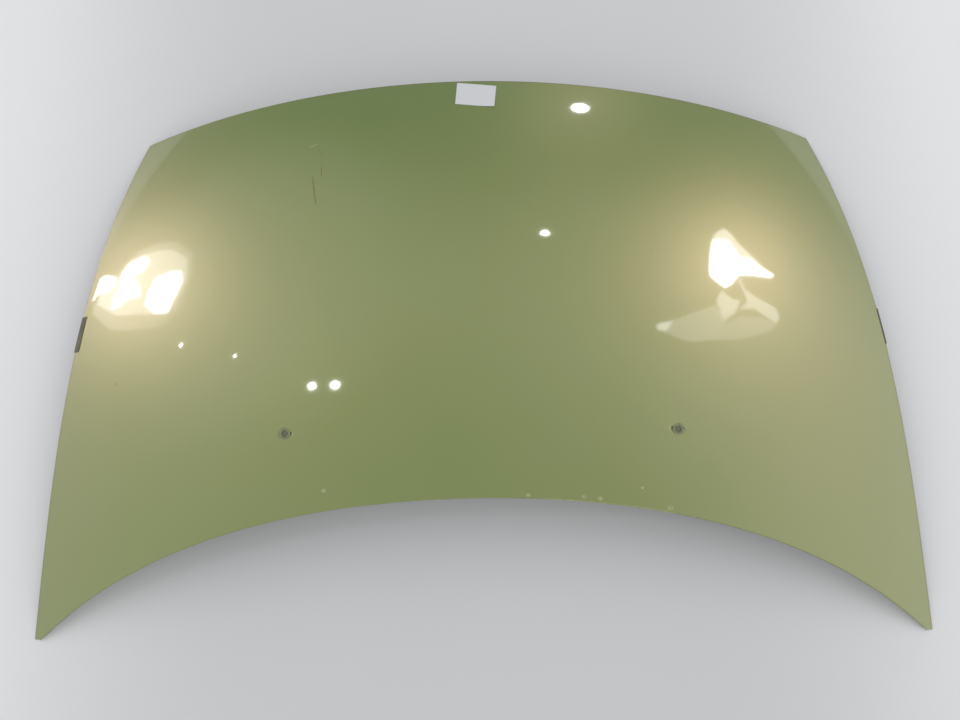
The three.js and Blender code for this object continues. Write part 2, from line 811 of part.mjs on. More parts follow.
function draped(geometry) {
  const p = geometry.attributes.position;
  const point = new THREE.Vector3();
  for (let i = 0; i < p.count; i++) {
    point.fromBufferAttribute(p, i);
    const depth = point.z;
    const seat = insideSeat(point, depth);
    const placed = seat
      ? point.set(point.x - seat.x, point.y - seat.y, -depth).applyMatrix4(seatFrame(seat.x, seat.y))
      : under(point.x, point.y, depth);
    p.setXYZ(i, placed.x, placed.y, placed.z);
  }
  return outward(mergeVertices(geometry, sameStep));
}

const innerFrame = () => draped(refined(gridded(geometryOf(flatFrame()))));

// Small pieces are made in the frame of their own seat, with depth downwards.
const inSeat = (solid, x, y) => geometryOf(solid).applyMatrix4(seatFrame(x, y));

function disc(radius, from, to, sides = roundSides) {
  return prism(circle(0, 0, radius, sides), -to, -from);
}

function plateWithHoles(halfX, halfY, from, to, holes, holeRadius) {
  const plate = prism(rounded(rectangle(0, 0, halfX, halfY), plateCorner), -to, -from);
  return holes.reduce((solid, [x, y]) => solid.subtract(
    prism(circle(x, y, holeRadius, smallSides), -to - cutPast, cutPast - from)), plate);
}

const localHoles = (seat) => screwPlaces(seat).map((p) => [p.x - seat.x, p.y - seat.y]);

function reinforcement(seat) {
  const to = seatDepth - fitGap;
  return inSeat(plateWithHoles(
    seat.halfX - frameGauge - reinforcementMargin, seat.halfY - frameGauge - reinforcementMargin,
    to - reinforcementGauge, to, localHoles(seat), screwHole), seat.x, seat.y);
}

const hexagon = (x, y) => circle(x, y, nutAcrossFlats / Math.sqrt(3), 6);

function weldNut(seat, [x, y]) {
  const to = seatDepth - 2 * fitGap - reinforcementGauge;
  const body = prism(hexagon(x, y), -to, nutHeight - to);
  const bore = prism(
    circle(x, y, screwRadius + fitGap, smallSides), -to - cutPast, nutHeight - to + cutPast);
  return inSeat(body.subtract(bore), seat.x, seat.y);
}

const strikerPlateTop = seatDepth + frameGauge + fitGap;
const strikerPlateBottom = strikerPlateTop + strikerPlateGauge;

function strikerPlate() {
  const seat = seatOf('striker');
  return inSeat(plateWithHoles(
    seat.halfX - reinforcementMargin, seat.halfY - reinforcementMargin,
    strikerPlateTop, strikerPlateBottom, localHoles(seat), screwHole), seat.x, seat.y);
}

function strikerBolt([x, y]) {
  const seat = seatOf('striker');
  const faceTop = -strikerPlateBottom - fitGap;
  const faceBottom = faceTop - washerFaceHeight;
  const end = 2 * fitGap + reinforcementGauge + nutHeight + screwPoint - seatDepth;
  const head = prism(hexagon(x, y), faceBottom - headHeight, faceBottom);
  const face = prism(circle(x, y, washerFaceRadius, roundSides), faceBottom, faceTop);
  const shank = prism(circle(x, y, screwRadius, smallSides), (faceTop + faceBottom) / 2, end);
  return inSeat(joined([head, face, shank]), seat.x, seat.y);
}

// A bent rod whose two legs stand on the striker plate.
function strikerLoop() {
  const seat = seatOf('striker');
  const half = strikerSpan / 2;
  const foot = -strikerPlateBottom - fitGap;
  const low = foot - strikerHeight + strikerRod / 2;
  const path = new THREE.CurvePath();
  const point = (x, z) => new THREE.Vector3(x, 0, z);
  const [a, b] = [point(-half, foot), point(-half, low + strikerBend)];
  const [c, d] = [point(strikerBend - half, low), point(half - strikerBend, low)];
  const [e, f] = [point(half, low + strikerBend), point(half, foot)];
  path.add(new THREE.LineCurve3(a, b));
  path.add(new THREE.QuadraticBezierCurve3(b, point(-half, low), c));
  path.add(new THREE.LineCurve3(c, d));
  path.add(new THREE.QuadraticBezierCurve3(d, point(half, low), e));
  path.add(new THREE.LineCurve3(e, f));
  const rod = new THREE.ExtrudeGeometry(new THREE.Shape(circle(0, 0, strikerRod / 2, smallSides)),
    { steps: strikerSteps, extrudePath: path });
  return rod.applyMatrix4(seatFrame(seat.x, seat.y));
}

// Washer jet: a thin skirt and a rim on the skin, with the ball of the nozzle in the rim's pocket,
// a body through the hole and a barb for its hose.
function washerJet() {
  const profile = [
    [0, -jetDrop], [jetBodyRadius, -jetDrop], [jetBodyRadius, -skinGauge - fitGap],
    [jetHole - fitGap, -skinGauge - fitGap], [jetHole - fitGap, fitGap],
    [jetHeadRadius, fitGap], [jetHeadRadius - fitGap, jetSkirtHeight], [jetRimRadius, jetSkirtHeight],
    [jetRimRadius - fitGap, jetRimHeight], [jetPocketRadius, jetRimHeight],
    [jetPocketRadius, -jetPocketDepth], [0, -jetPocketDepth],
  ].map(([r, z]) => at(r, z));
  const body = solidOf(new THREE.LatheGeometry(profile, roundSides).rotateX(Math.PI / 2));
  const ball = new THREE.SphereGeometry(jetBallRadius, smallSides, smallSides / 2);
  ball.translate(0, 0, jetBallRadius / 2 - jetPocketDepth);
  const barbHeight = jetBarbRadius + jetBarbRise - jetDrop;
  const barb = new THREE.CylinderGeometry(jetBarbRadius, jetBarbRadius, jetBarbLength, smallSides);
  barb.translate(0, jetBarbLength / 2, barbHeight);
  const ridge = new THREE.CylinderGeometry(jetBarbRadius, jetRidgeRadius, jetRidgeLength, smallSides);
  ridge.translate(0, jetBarbLength - jetRidgeLength, barbHeight);
  const spray = new THREE.CylinderGeometry(jetSpray, jetSpray, jetSprayDepth, smallSides);
  spray.rotateX(-Math.PI / 3);
  return joined([body, solidOf(ball), solidOf(barb), solidOf(ridge)]).subtract(solidOf(spray));
}

const underSkin = skinGauge + fitGap + facetSag;

const jetSeal = () => disc(jetSealRadius, underSkin, underSkin + jetSealHeight)
  .subtract(disc(jetBodyRadius + fitGap, 0, jetDrop));

// Side buffer: a rubber strip with a U section, pushed over the hem.
function sideBuffer(side) {
  const [near, far] = [-fitGap, hemThickness + fitGap];
  const section = [
    [bufferOverlap, near], [bufferOverlap, near - bufferWall], [near - bufferWall, near - bufferWall],
    [near - bufferWall, far + bufferWall], [bufferUnderlap, far + bufferWall], [bufferUnderlap, far],
    [near, far], [near, near],
  ];
  const loops = Array.from({ length: bufferSteps + 1 }, (_, i) => {
    const y = bufferY + bufferLength * (i / bufferSteps - 0.5);
    return section.map(([d, depth]) => under(side * sideAt(y, d), y, depth));
  });
  return skinned(loops, { cap: section.map(([d, depth]) => at(d, depth)) });
}

const channelFloor = channelDepth + frameGauge + fitGap + facetSag;

// Rubber stop: a domed foot under the channel with a stem through its bottom.
function bumpStop() {
  const low = -channelFloor - stopHeight;
  const end = stopStemLength - channelFloor;
  const shoulder = at(stopRadius, (low - channelFloor) / 2);
  const dome = new THREE.QuadraticBezierCurve(at(0, low), at(stopRadius, low), shoulder);
  const stem = [
    [stopRadius, -channelFloor], [stopStemRadius, -channelFloor], [stopStemRadius, end - stopStemTaper],
    [stopStemRadius / 2, end], [0, end],
  ].map(([r, z]) => at(r, z));
  const profile = [...dome.getPoints(cornerSteps), ...stem];
  return solidOf(new THREE.LatheGeometry(profile, roundSides).rotateX(Math.PI / 2));
}

function flangedRing(flange, body, bore, lip) {
  const profile = [
    [bore, -channelFloor - mouldedWall], [flange - mouldedWall / 2, -channelFloor - mouldedWall],
    [flange, -channelFloor - mouldedWall / 2], [flange, -channelFloor], [body, -channelFloor],
    [body, lip - channelDepth], [bore, lip - channelDepth], [bore, -channelFloor - mouldedWall],
  ].map(([r, z]) => at(r, z));
  return solidOf(new THREE.LatheGeometry(profile, roundSides).rotateX(Math.PI / 2));
}

function framePlug() {
  const profile = [
    [0, -channelFloor - plugThickness], [plugFlange - plugThickness / 2, -channelFloor - plugThickness],
    [plugFlange, -channelFloor - plugThickness / 2], [plugFlange, -channelFloor],
    [plugRadius - fitGap, -channelFloor], [plugRadius - fitGap, plugLip - channelDepth],
    [plugRadius - fitGap - mouldedWall, plugLip - channelDepth],
    [plugRadius - fitGap - mouldedWall, -channelFloor], [0, -channelFloor],
  ].map(([r, z]) => at(r, z));
  return solidOf(new THREE.LatheGeometry(profile, roundSides).rotateX(Math.PI / 2));
}

// Mastic pads stand on the flanges between the cut-outs and fill the gap to the skin.
function masticPlaces() {
  const crossEdge = crossRibMouth / 2 + cellFlange / 2;
  const ribEdge = (ribMouth / 2 + cellFlange / 2) * Math.hypot(1, ribLean);
  const rearBand = crossRibY - masticSpread * crossRibMouth;
  const frontBand = crossRibY + masticSpread * crossRibMouth;
  return [-1, 1].flatMap((side) => [
    at(side * (ribX(frontBand) + ribEdge), frontBand),
    at(side * (ribX(frontBand) - ribEdge), frontBand),
    at(side * (ribX(rearBand) + ribEdge), rearBand),
    at(side * (ribX(rearBand) - ribEdge), rearBand),
    at(side * masticReach * ribX(crossRibY), crossRibY + crossEdge),
    at(side * masticReach * ribX(crossRibY), crossRibY - crossEdge),
    at(side * masticInner * ribX(crossRibY), crossRibY + crossEdge),
  ]);
}

function masticPad(p) {
  const pad = prism(
    circle(p.x, p.y, cellFlange / 2 - fitGap, masticSides), underSkin, plateDepth - fitGap);
  return draped(geometryOf(pad));
}

// The assembly
const paint = { color: 0x7d8859, roughness: 0.28, metalness: 0.25 };
const primer = { color: 0x77815a, roughness: 0.45, metalness: 0.15 };
const steel = { color: 0x9b9da0, roughness: 0.4, metalness: 0.9 };
const rubber = { color: 0x2b2c29, roughness: 0.85, metalness: 0 };
const plastic = { color: 0x3c3e3a, roughness: 0.6, metalness: 0 };
const mastic = { color: 0x8f8c82, roughness: 0.9, metalness: 0 };

const bonnet = new THREE.Group();

function place(name, geometry, finish) {
  const mesh = new THREE.Mesh(geometry, new THREE.MeshStandardMaterial(finish));
  mesh.name = name;
  bonnet.add(mesh);
}

const sideName = (side) => (side < 0 ? 'left' : 'right');

place('outer_skin', outerSkin(), paint);
place('inner_frame', innerFrame(), primer);

const strikerSeat = seatOf('striker');
place('striker_reinforcement', reinforcement(strikerSeat), steel);
place('striker_plate', strikerPlate(), steel);
place('striker_loop', strikerLoop(), steel);
localHoles(strikerSeat).forEach((hole, i) => {
  place(`striker_bolt_${sideName(2 * i - 1)}`, strikerBolt(hole), steel);
  place(`striker_nut_${sideName(2 * i - 1)}`, weldNut(strikerSeat, hole), steel);
});

for (const side of [-1, 1]) {
  const name = sideName(side);
  const seat = seatOf(`hinge_${name}`);
  place(`hinge_reinforcement_${name}`, reinforcement(seat), steel);
  localHoles(seat).forEach((hole, i) => {
    place(`hinge_nut_${name}_${i ? 'front' : 'rear'}`, weldNut(seat, hole), steel);
  });
  place(`washer_jet_${name}`, inSeat(washerJet(), side * jetX, jetY), plastic);
  place(`jet_seal_${name}`, inSeat(jetSeal(), side * jetX, jetY), rubber);
  place(`side_buffer_${name}`, sideBuffer(side), rubber);
}

frameStops.forEach((p, i) => {
  place(`bump_stop_${sideName(2 * i - 1)}`, inSeat(bumpStop(), p.x, p.y), rubber);
});

place('prop_socket', inSeat(flangedRing(socketFlange, socketRadius, socketBore, plugLip),
  propPlace.x, propPlace.y), plastic);
plugPlaces.forEach((p, i) => place(`frame_plug_${i + 1}`, inSeat(framePlug(), p.x, p.y), plastic));
masticPlaces().forEach((p, i) => place(`mastic_pad_${i + 1}`, masticPad(p), mastic));

// The lowest corner stands on the floor.
bonnet.position.z = -new THREE.Box3().setFromObject(bonnet, true).min.z;
bonnet.updateMatrixWorld(true);

export default bonnet;
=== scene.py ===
# A car bonnet lying outer side up: pearl paint over a hemmed skin, the ribbed frame under it, and
# its striker, washer jets, buffers, stops and plugs. Metres throughout.

import functools
import math

import bmesh
import bpy
import numpy as np
from mathutils import Matrix, Vector

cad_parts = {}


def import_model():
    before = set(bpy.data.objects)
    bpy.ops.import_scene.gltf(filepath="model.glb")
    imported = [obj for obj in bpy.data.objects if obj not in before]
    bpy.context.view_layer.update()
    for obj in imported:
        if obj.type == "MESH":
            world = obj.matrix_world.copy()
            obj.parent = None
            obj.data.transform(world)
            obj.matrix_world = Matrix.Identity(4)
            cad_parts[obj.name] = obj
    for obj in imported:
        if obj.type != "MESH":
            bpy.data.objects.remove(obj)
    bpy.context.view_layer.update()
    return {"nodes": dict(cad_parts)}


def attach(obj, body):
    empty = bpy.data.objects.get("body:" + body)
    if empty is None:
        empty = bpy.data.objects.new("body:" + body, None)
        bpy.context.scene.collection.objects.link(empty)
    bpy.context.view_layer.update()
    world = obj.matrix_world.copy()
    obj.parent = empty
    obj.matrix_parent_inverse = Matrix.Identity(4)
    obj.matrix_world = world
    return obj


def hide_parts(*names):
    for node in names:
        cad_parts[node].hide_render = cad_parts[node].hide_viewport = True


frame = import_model()

# Outline of the bonnet
OVERALL_LENGTH = 0.919
CENTRE_LENGTH = 0.708
CORNER_SETBACK = 0.0718
NOSE_FLATNESS = 0.388
ARCH_ROLL = 0.317
TIP_WIDTH = 0.012
NOSE_Y = OVERALL_LENGTH / 2
TIP_Y = -OVERALL_LENGTH / 2
REAR_Y = NOSE_Y - CENTRE_LENGTH
CORNER_Y = NOSE_Y - CORNER_SETBACK
HALF_WIDTHS = ((TIP_Y, 0.7128), (-0.230, 0.69015), (0.0, 0.6683), (CORNER_Y, 0.5947))
REAR_HALF = HALF_WIDTHS[0][1] - TIP_WIDTH
FRONT_HALF = HALF_WIDTHS[-1][1]

# Form of the outer surface
FORM = {
    "Crown at the rear": 0.1498,
    "Crown in the middle": 0.1718,
    "Crown ahead": 0.1521,
    "Crown at the nose": 0.0804,
    "Side rise": 0.045,
    "Edge roll": 0.38,
    "Lift": 0.00206,
}
AHEAD_Y = 0.230

# Sheet and hem
SKIN_GAUGE = 0.0007
HEM_THICKNESS = 0.003
HEM_RETURN = 0.010
HEM_RETURN_AT_TIP = 0.0026
HEM_WIDENING = 0.3
FOLD_STEPS = 8
FOLD_SUPPORT = 0.0005
SKIN_COLUMNS = 84
SKIN_ROWS = 112
COLUMN_CROWDING = 0.25

# Washer jets: the (radius, height over the skin) points of the head with its body, and a ball
# nozzle with the points of its bore
JET_X = 0.289
JET_Y = -0.1516
JET_HOLE = 0.0072
FIT_GAP = 0.0003
JET_PROFILE = (
    (0.0, -0.0016), (0.0045, -0.0016), (0.0051, 0.0012), (0.0055, 0.0016), (0.0060, 0.0016),
    (0.0063, 0.0012), (0.0065, 0.0008), (0.0078, 0.0007), (0.0082, FIT_GAP),
    (JET_HOLE - FIT_GAP, FIT_GAP), (JET_HOLE - FIT_GAP, -SKIN_GAUGE - FIT_GAP),
    (0.005, -SKIN_GAUGE - FIT_GAP), (0.005, -0.014), (0.0, -0.014),
)
NOZZLE_RADIUS = 0.0019
NOZZLE_HEIGHT = 0.0009
NOZZLE_MIDDLE = -0.0005
NOZZLE_ARC = (0.4, math.pi - 0.35)
NOZZLE_STEPS = 9
NOZZLE_BORE = ((0.0005, 0.0002), (0.0004, -0.0003), (0.0, -0.0003))

# Side buffers: their overlaps over the skin, and the clip round the hem
BUFFER_LENGTH = 0.060
BUFFER_Y = 0.026
BUFFER_WALL = 0.0014
BUFFER_LIP = 0.0004
BUFFER_EDGE = 0.0004
BUFFER_EDGE_STEPS = 4
BUFFER_OVERLAPS = (("left", -1, 0.0095), ("right", 1, 0.0015))
BUFFER_UNDERLAP = 0.009
BUFFER_STEPS = 24

# Paper label: its corners on the skin, its sheet, and how one corner lifts
LABEL_CORNERS = ((-0.0377, 0.4023), (0.0275, 0.3941), (0.0321, 0.4453), (-0.0348, 0.4543))
LABEL_GAUGE = 0.00014
LABEL_GAP = 0.00012
LABEL_STEPS = (30, 24)
LABEL_CURL = 0.007
LABEL_CURL_START = 1.55
LABEL_RIPPLE = 0.00005
LABEL_WAVES = (9, 4)

# Steps of the arithmetic and the meshing
SLOPE_STEP = 0.0001
SETTLING_ROUNDS = 40
MERGE_DISTANCE = 1e-6
JET_SIDES = 48
NOZZLE_SIDES = 32
CUTTER_REACH = 0.004
STEEL_BEVEL = 0.0003


def taken_apart(tree, vector):
    """The x, y and z of a vector socket, as fields."""
    split = tree.nodes.new("ShaderNodeSeparateXYZ")
    tree.links.new(vector, split.inputs[0])
    return [Field(tree, socket) for socket in split.outputs]


def feed(tree, socket, value):
    """Links a field to a socket, or sets the socket to a number."""
    if isinstance(value, Field):
        tree.links.new(value.socket, socket)
    else:
        socket.default_value = value


class Field:
    """A number in a node tree, written with plain arithmetic."""

    def __init__(self, tree, socket):
        self.tree = tree
        self.socket = socket

    def math(self, operation, *values, clamp=False):
        node = self.tree.nodes.new("ShaderNodeMath")
        node.operation = operation
        node.use_clamp = clamp
        for socket, value in zip(node.inputs, values):
            feed(self.tree, socket, value)
        return Field(self.tree, node.outputs[0])

    def __add__(self, other):
        return self.math("ADD", self, other)

    def __sub__(self, other):
        return self.math("SUBTRACT", self, other)

    def __mul__(self, other):
        return self.math("MULTIPLY", self, other)

    def __truediv__(self, other):
        return self.math("DIVIDE", self, other)

    def __rsub__(self, other):
        return self.math("SUBTRACT", other, self)

    __radd__ = __add__
    __rmul__ = __mul__

    def clamped(self):
        return self.math("ADD", self, 0.0, clamp=True)

    def larger(self, other):
        return self.math("MAXIMUM", self, other)

    def smaller(self, other):
        return self.math("MINIMUM", self, other)

    def root(self):
        return self.math("SQRT", self)

    def between(self, low, high):
        """0 below low, 1 above high and smooth between them."""
        node = self.tree.nodes.new("ShaderNodeMapRange")
        node.interpolation_type = "SMOOTHSTEP"
        feed(self.tree, node.inputs["Value"], self)
        node.inputs["From Min"].default_value = low
        node.inputs["From Max"].default_value = high
        return Field(self.tree, node.outputs["Result"])


# The form, for numbers, arrays and fields alike
def through(points, y):
    """The lowest polynomial that meets all the (place, value) points, at y."""
    total = 0
    for place, value in points:
        share = 1
        for other, _ in points:
            if other != place:
                share = share * ((y - other) / (place - other))
        total = total + share * value
    return total


def mixed(t, share):
    """A parabola with a share of the fourth order."""
    square = t * t
    return square * (1 - share) + square * square * share


def half_width(y):
    return through(HALF_WIDTHS, y)


def surface(x, y, form):
    """Height of the outer surface over the floor's level, without the lift."""
    crown = through(
        (
            (REAR_Y, form["Crown at the rear"]),
            (0.0, form["Crown in the middle"]),
            (AHEAD_Y, form["Crown ahead"]),
            (NOSE_Y, form["Crown at the nose"]),
        ),
        y,
    )
    reach = (CORNER_Y - TIP_Y) ** 2
    side = (y - TIP_Y) * (CORNER_Y - y) * form["Side rise"] * (4 / reach)
    return crown - (crown - side) * mixed(x / half_width(y), form["Edge roll"])


def front_edge(x):
    return NOSE_Y - CORNER_SETBACK * mixed(x / FRONT_HALF, -NOSE_FLATNESS)


def rear_edge(x):
    return np.maximum(REAR_Y - (REAR_Y - TIP_Y) * mixed(x / REAR_HALF, ARCH_ROLL), TIP_Y)


def side_at(y, inward):
    """Half width at y, a distance in from the side edge."""
    slope = (half_width(y + SLOPE_STEP) - half_width(y - SLOPE_STEP)) / (2 * SLOPE_STEP)
    return half_width(y) - inward * math.hypot(1, slope)


def seat(x, y):
    """The frame of a place on the outer surface: z points out of it."""
    step = SLOPE_STEP
    dx = (surface(x + step, y, FORM) - surface(x - step, y, FORM)) / (2 * step)
    dy = (surface(x, y + step, FORM) - surface(x, y - step, FORM)) / (2 * step)
    out = Vector((-dx, -dy, 1)).normalized()
    across = Vector((1, 0, dx)).normalized()
    turn = Matrix((across, out.cross(across), out)).transposed().to_4x4()
    return Matrix.Translation((x, y, surface(x, y, FORM) + FORM["Lift"])) @ turn


# The camera, and the picture that it takes, in pixels
CAMERA_PLACE = (-0.001, -0.257, 1.22306)
CAMERA_TILT = math.radians(11.2)
CAMERA_ROLL = math.radians(-0.65)
LENS = 27.375
SENSOR = 36.0
FAR_CLIP = 50
PICTURE_WIDTH = 960
PICTURE_HEIGHT = 720


def camera_turn():
    """The turn whose columns are the camera's right, up and back."""
    back = Vector((0, -math.sin(CAMERA_TILT), math.cos(CAMERA_TILT)))
    level = Vector((1, 0, 0))
    up = back.cross(level)
    right = level * math.cos(CAMERA_ROLL) + up * math.sin(CAMERA_ROLL)
    upright = up * math.cos(CAMERA_ROLL) - level * math.sin(CAMERA_ROLL)
    return Matrix((right, upright, back)).transposed()


def sight(pixel):
    """The camera's ray through a pixel, and the spot where it meets the skin."""
    scale = SENSOR / LENS / PICTURE_WIDTH
    across = (pixel[0] - PICTURE_WIDTH / 2) * scale
    raised = (PICTURE_HEIGHT / 2 - pixel[1]) * scale
    ray = (camera_turn() @ Vector((across, raised, -1))).normalized()
    spot = Vector(CAMERA_PLACE)
    for _ in range(SETTLING_ROUNDS):
        drop = spot.z - surface(spot.x, spot.y, FORM) - FORM["Lift"]
        spot = spot - ray * (drop / ray.z)
    return ray, spot


def mirrored(pixel):
    """The spot that a pixel shows, and the way in which the skin mirrors the camera's ray there."""
    ray, spot = sight(pixel)
    out = seat(spot.x, spot.y).col[2].to_3d()
    return spot, ray - out * (2 * ray.dot(out))


# Geometry nodes: a flat pattern pressed onto the form
def press_tree():
    """x and y of a flat pattern stay, and its z becomes the height above the outer surface."""
    tree = bpy.data.node_groups.new("press_to_form", "GeometryNodeTree")
    tree.interface.new_socket("Pattern", in_out="INPUT", socket_type="NodeSocketGeometry")
    for name, value in FORM.items():
        socket = tree.interface.new_socket(name, in_out="INPUT", socket_type="NodeSocketFloat")
        socket.default_value = value
    tree.interface.new_socket("Finish", in_out="INPUT", socket_type="NodeSocketMaterial")
    tree.interface.new_socket("Pressed", in_out="OUTPUT", socket_type="NodeSocketGeometry")
    inputs = tree.nodes.new("NodeGroupInput")
    form = {name: Field(tree, inputs.outputs[name]) for name in FORM}
    position = tree.nodes.new("GeometryNodeInputPosition")
    x, y, z = taken_apart(tree, position.outputs[0])
    step = 0.001
    dx = (surface(x + step, y, form) - surface(x - step, y, form)) * (0.5 / step)
    dy = (surface(x, y + step, form) - surface(x, y - step, form)) * (0.5 / step)
    offset = z / (dx * dx + dy * dy + 1.0).root()
    join = tree.nodes.new("ShaderNodeCombineXYZ")
    places = (x - dx * offset, y - dy * offset, surface(x, y, form) + offset + form["Lift"])
    for place, socket in zip(places, join.inputs):
        tree.links.new(place.socket, socket)
    move = tree.nodes.new("GeometryNodeSetPosition")
    realize = tree.nodes.new("GeometryNodeRealizeInstances")
    finish = tree.nodes.new("GeometryNodeSetMaterial")
    output = tree.nodes.new("NodeGroupOutput")
    tree.links.new(inputs.outputs["Pattern"], move.inputs["Geometry"])
    tree.links.new(join.outputs[0], move.inputs["Position"])
    tree.links.new(move.outputs[0], realize.inputs[0])
    tree.links.new(realize.outputs[0], finish.inputs["Geometry"])
    tree.links.new(inputs.outputs["Finish"], finish.inputs["Material"])
    tree.links.new(finish.outputs[0], output.inputs[0])
    return tree


def linked(name, data):
    piece = bpy.data.objects.new(name, data)
    bpy.context.scene.collection.objects.link(piece)
    return piece


def baked(piece):
    """Makes the piece's modifiers real."""
    depsgraph = bpy.context.evaluated_depsgraph_get()
    mesh = bpy.data.meshes.new_from_object(piece.evaluated_get(depsgraph), depsgraph=depsgraph)
    piece.modifiers.clear()
    piece.data = mesh


def pressed(name, points, faces, finish, tree, angle=None):
    """A flat pattern of (x, y, height) points, pressed onto the form and smooth up to an angle."""
    mesh = bpy.data.meshes.new(name)
    mesh.from_pydata([tuple(point) for point in points], [], faces)
    mesh.shade_smooth()
    piece = linked(name, mesh)
    modifier = piece.modifiers.new("form", "NODES")
    modifier.node_group = tree
    sockets = {item.name: item.identifier for item in tree.interface.items_tree}
    for size, value in FORM.items():
        modifier[sockets[size]] = value
    modifier[sockets["Finish"]] = finish
    baked(piece)
    if angle is not None:
        piece.data.set_sharp_from_angle(angle=math.radians(angle))
    return piece


def placed(name, mesh, finish, where=None, angle=None):
    """A piece of the given mesh, moved to its place in its own points."""
    if where is not None:
        mesh.transform(where)
    mesh.materials.clear()
    mesh.materials.append(finish)
    mesh.shade_smooth()
    if angle is not None:
        mesh.set_sharp_from_angle(angle=math.radians(angle))
    return linked(name, mesh)


def fitted(piece, slot, *nodes):
    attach(piece, "root")
    if nodes:
        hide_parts(*nodes)


# The outer skin
def meeting(edge, u):
    """y where columns at the share u of the half width meet an edge."""
    y = edge(0 * u)
    for _ in range(SETTLING_ROUNDS):
        y = edge(u * half_width(y))
    return y


def column_shares():
    inner = REAR_HALF / half_width(TIP_Y)
    s = np.arange(1, SKIN_COLUMNS + 1) / SKIN_COLUMNS
    half = inner * ((1 + COLUMN_CROWDING) * s - COLUMN_CROWDING * s**3)
    right = np.append(half, 1.0)
    return np.concatenate([-right[::-1], [0.0], right])


def inward_steps(outline):
    """Steps that move both neighbouring edges of a clockwise outline inwards by one."""
    before = outline - np.roll(outline, 1, axis=0)
    after = np.roll(outline, -1, axis=0) - outline
    before /= np.linalg.norm(before, axis=1, keepdims=True)
    after /= np.linalg.norm(after, axis=1, keepdims=True)
    normal_before = np.stack([before[:, 1], -before[:, 0]], axis=1)
    normal_after = np.stack([after[:, 1], -after[:, 0]], axis=1)
    middle = normal_before + normal_after
    middle /= np.linalg.norm(middle, axis=1, keepdims=True)
    return middle / (middle * normal_before).sum(axis=1, keepdims=True)


def skin_pattern():
    """Points and faces of the skin's flat pattern: sheet, fold, flange and inner side."""
    shares = column_shares()
    rear = meeting(rear_edge, shares)
    front = meeting(front_edge, shares)
    rows = np.linspace(0, 1, SKIN_ROWS + 1)
    grid_y = rear[:, None] + rows[None, :] * (front - rear)[:, None]
    grid_x = shares[:, None] * half_width(grid_y)
    last = len(shares) - 1
    stations = [(i, SKIN_ROWS) for i in range(last)]
    stations += [(last, j) for j in range(SKIN_ROWS, 0, -1)]
    stations += [(i, 0) for i in range(last, 0, -1)]
    stations += [(0, j) for j in range(SKIN_ROWS)]
    outline = np.array([(grid_x[s], grid_y[s]) for s in stations])
    steps = inward_steps(outline)
    to_tip = np.hypot(REAR_HALF - np.abs(outline[:, 0]), outline[:, 1] - TIP_Y)
    flange = np.minimum(HEM_RETURN, HEM_RETURN_AT_TIP + HEM_WIDENING * to_tip)
    outside = HEM_THICKNESS / 2
    inside = outside - SKIN_GAUGE
    rim = outline + steps * (outside + FOLD_SUPPORT)
    points = []
    sheets = []
    for depth in (0.0, SKIN_GAUGE):
        x, y = grid_x.copy(), grid_y.copy()
        for station, place in zip(stations, rim):
            x[station], y[station] = place
        sheets.append(len(points) + np.arange(x.size).reshape(x.shape))
        points += [(a, b, -depth) for a, b in zip(x.ravel(), y.ravel())]
    turns = [math.pi * k / FOLD_STEPS for k in range(FOLD_STEPS + 1)]
    outer = [(outside - outside * math.sin(a), outside - outside * math.cos(a)) for a in turns]
    inner = [(outside - inside * math.sin(a), outside - inside * math.cos(a)) for a in turns]
    loops = [*outer, (flange, HEM_THICKNESS), (flange, HEM_THICKNESS - SKIN_GAUGE), *inner[::-1]]
    top, bottom = sheets
    rings = [[top[s] for s in stations]]
    for inward, depth in loops:
        loop = outline + steps * np.reshape(inward, (-1, 1))
        rings.append(len(points) + np.arange(len(stations)))
        points += [(a, b, -depth) for a, b in loop]
    rings.append([bottom[s] for s in stations])
    faces = []
    for i in range(last):
        for j in range(SKIN_ROWS):
            faces.append((top[i, j], top[i + 1, j], top[i + 1, j + 1], top[i, j + 1]))
            faces.append((bottom[i, j], bottom[i, j + 1], bottom[i + 1, j + 1], bottom[i + 1, j]))
    count = len(stations)
    for first, second in zip(rings, rings[1:]):
        for k in range(count):
            n = (k + 1) % count
            faces.append((first[k], first[n], second[n], second[k]))
    return points, [tuple(int(v) for v in face) for face in faces]


def turned(profile, sides):
    """A mesh turned about z from (radius, height) points that start and end on the axis."""
    shape = bmesh.new()
    loop = [shape.verts.new((radius, 0, height)) for radius, height in profile]
    edges = [shape.edges.new(pair) for pair in zip(loop, loop[1:])]
    bmesh.ops.spin(
        shape, geom=loop + edges, axis=(0, 0, 1), cent=(0, 0, 0), angle=2 * math.pi,
        steps=sides, use_merge=True)
    bmesh.ops.remove_doubles(shape, verts=shape.verts, dist=MERGE_DISTANCE)
    bmesh.ops.recalc_face_normals(shape, faces=shape.faces)
    mesh = bpy.data.meshes.new("turned")
    shape.to_mesh(mesh)
    shape.free()
    return mesh


def smooth_copy(node, finish, slot, angle=35, bevel=0.0):
    """A merged copy of a CAD node, smooth up to an angle, in place of the node."""
    shape = bmesh.new()
    shape.from_mesh(frame["nodes"][node].data)
    bmesh.ops.remove_doubles(shape, verts=shape.verts, dist=MERGE_DISTANCE)
    mesh = bpy.data.meshes.new(node)
    shape.to_mesh(mesh)
    shape.free()
    piece = placed(f"{node}_finished", mesh, finish, angle=angle)
    if bevel:
        round_off = piece.modifiers.new("edges", "BEVEL")
        round_off.width = bevel
        round_off.segments = 2
        round_off.limit_method = "ANGLE"
        round_off.angle_limit = math.radians(angle)
        baked(piece)
    fitted(piece, slot, node)


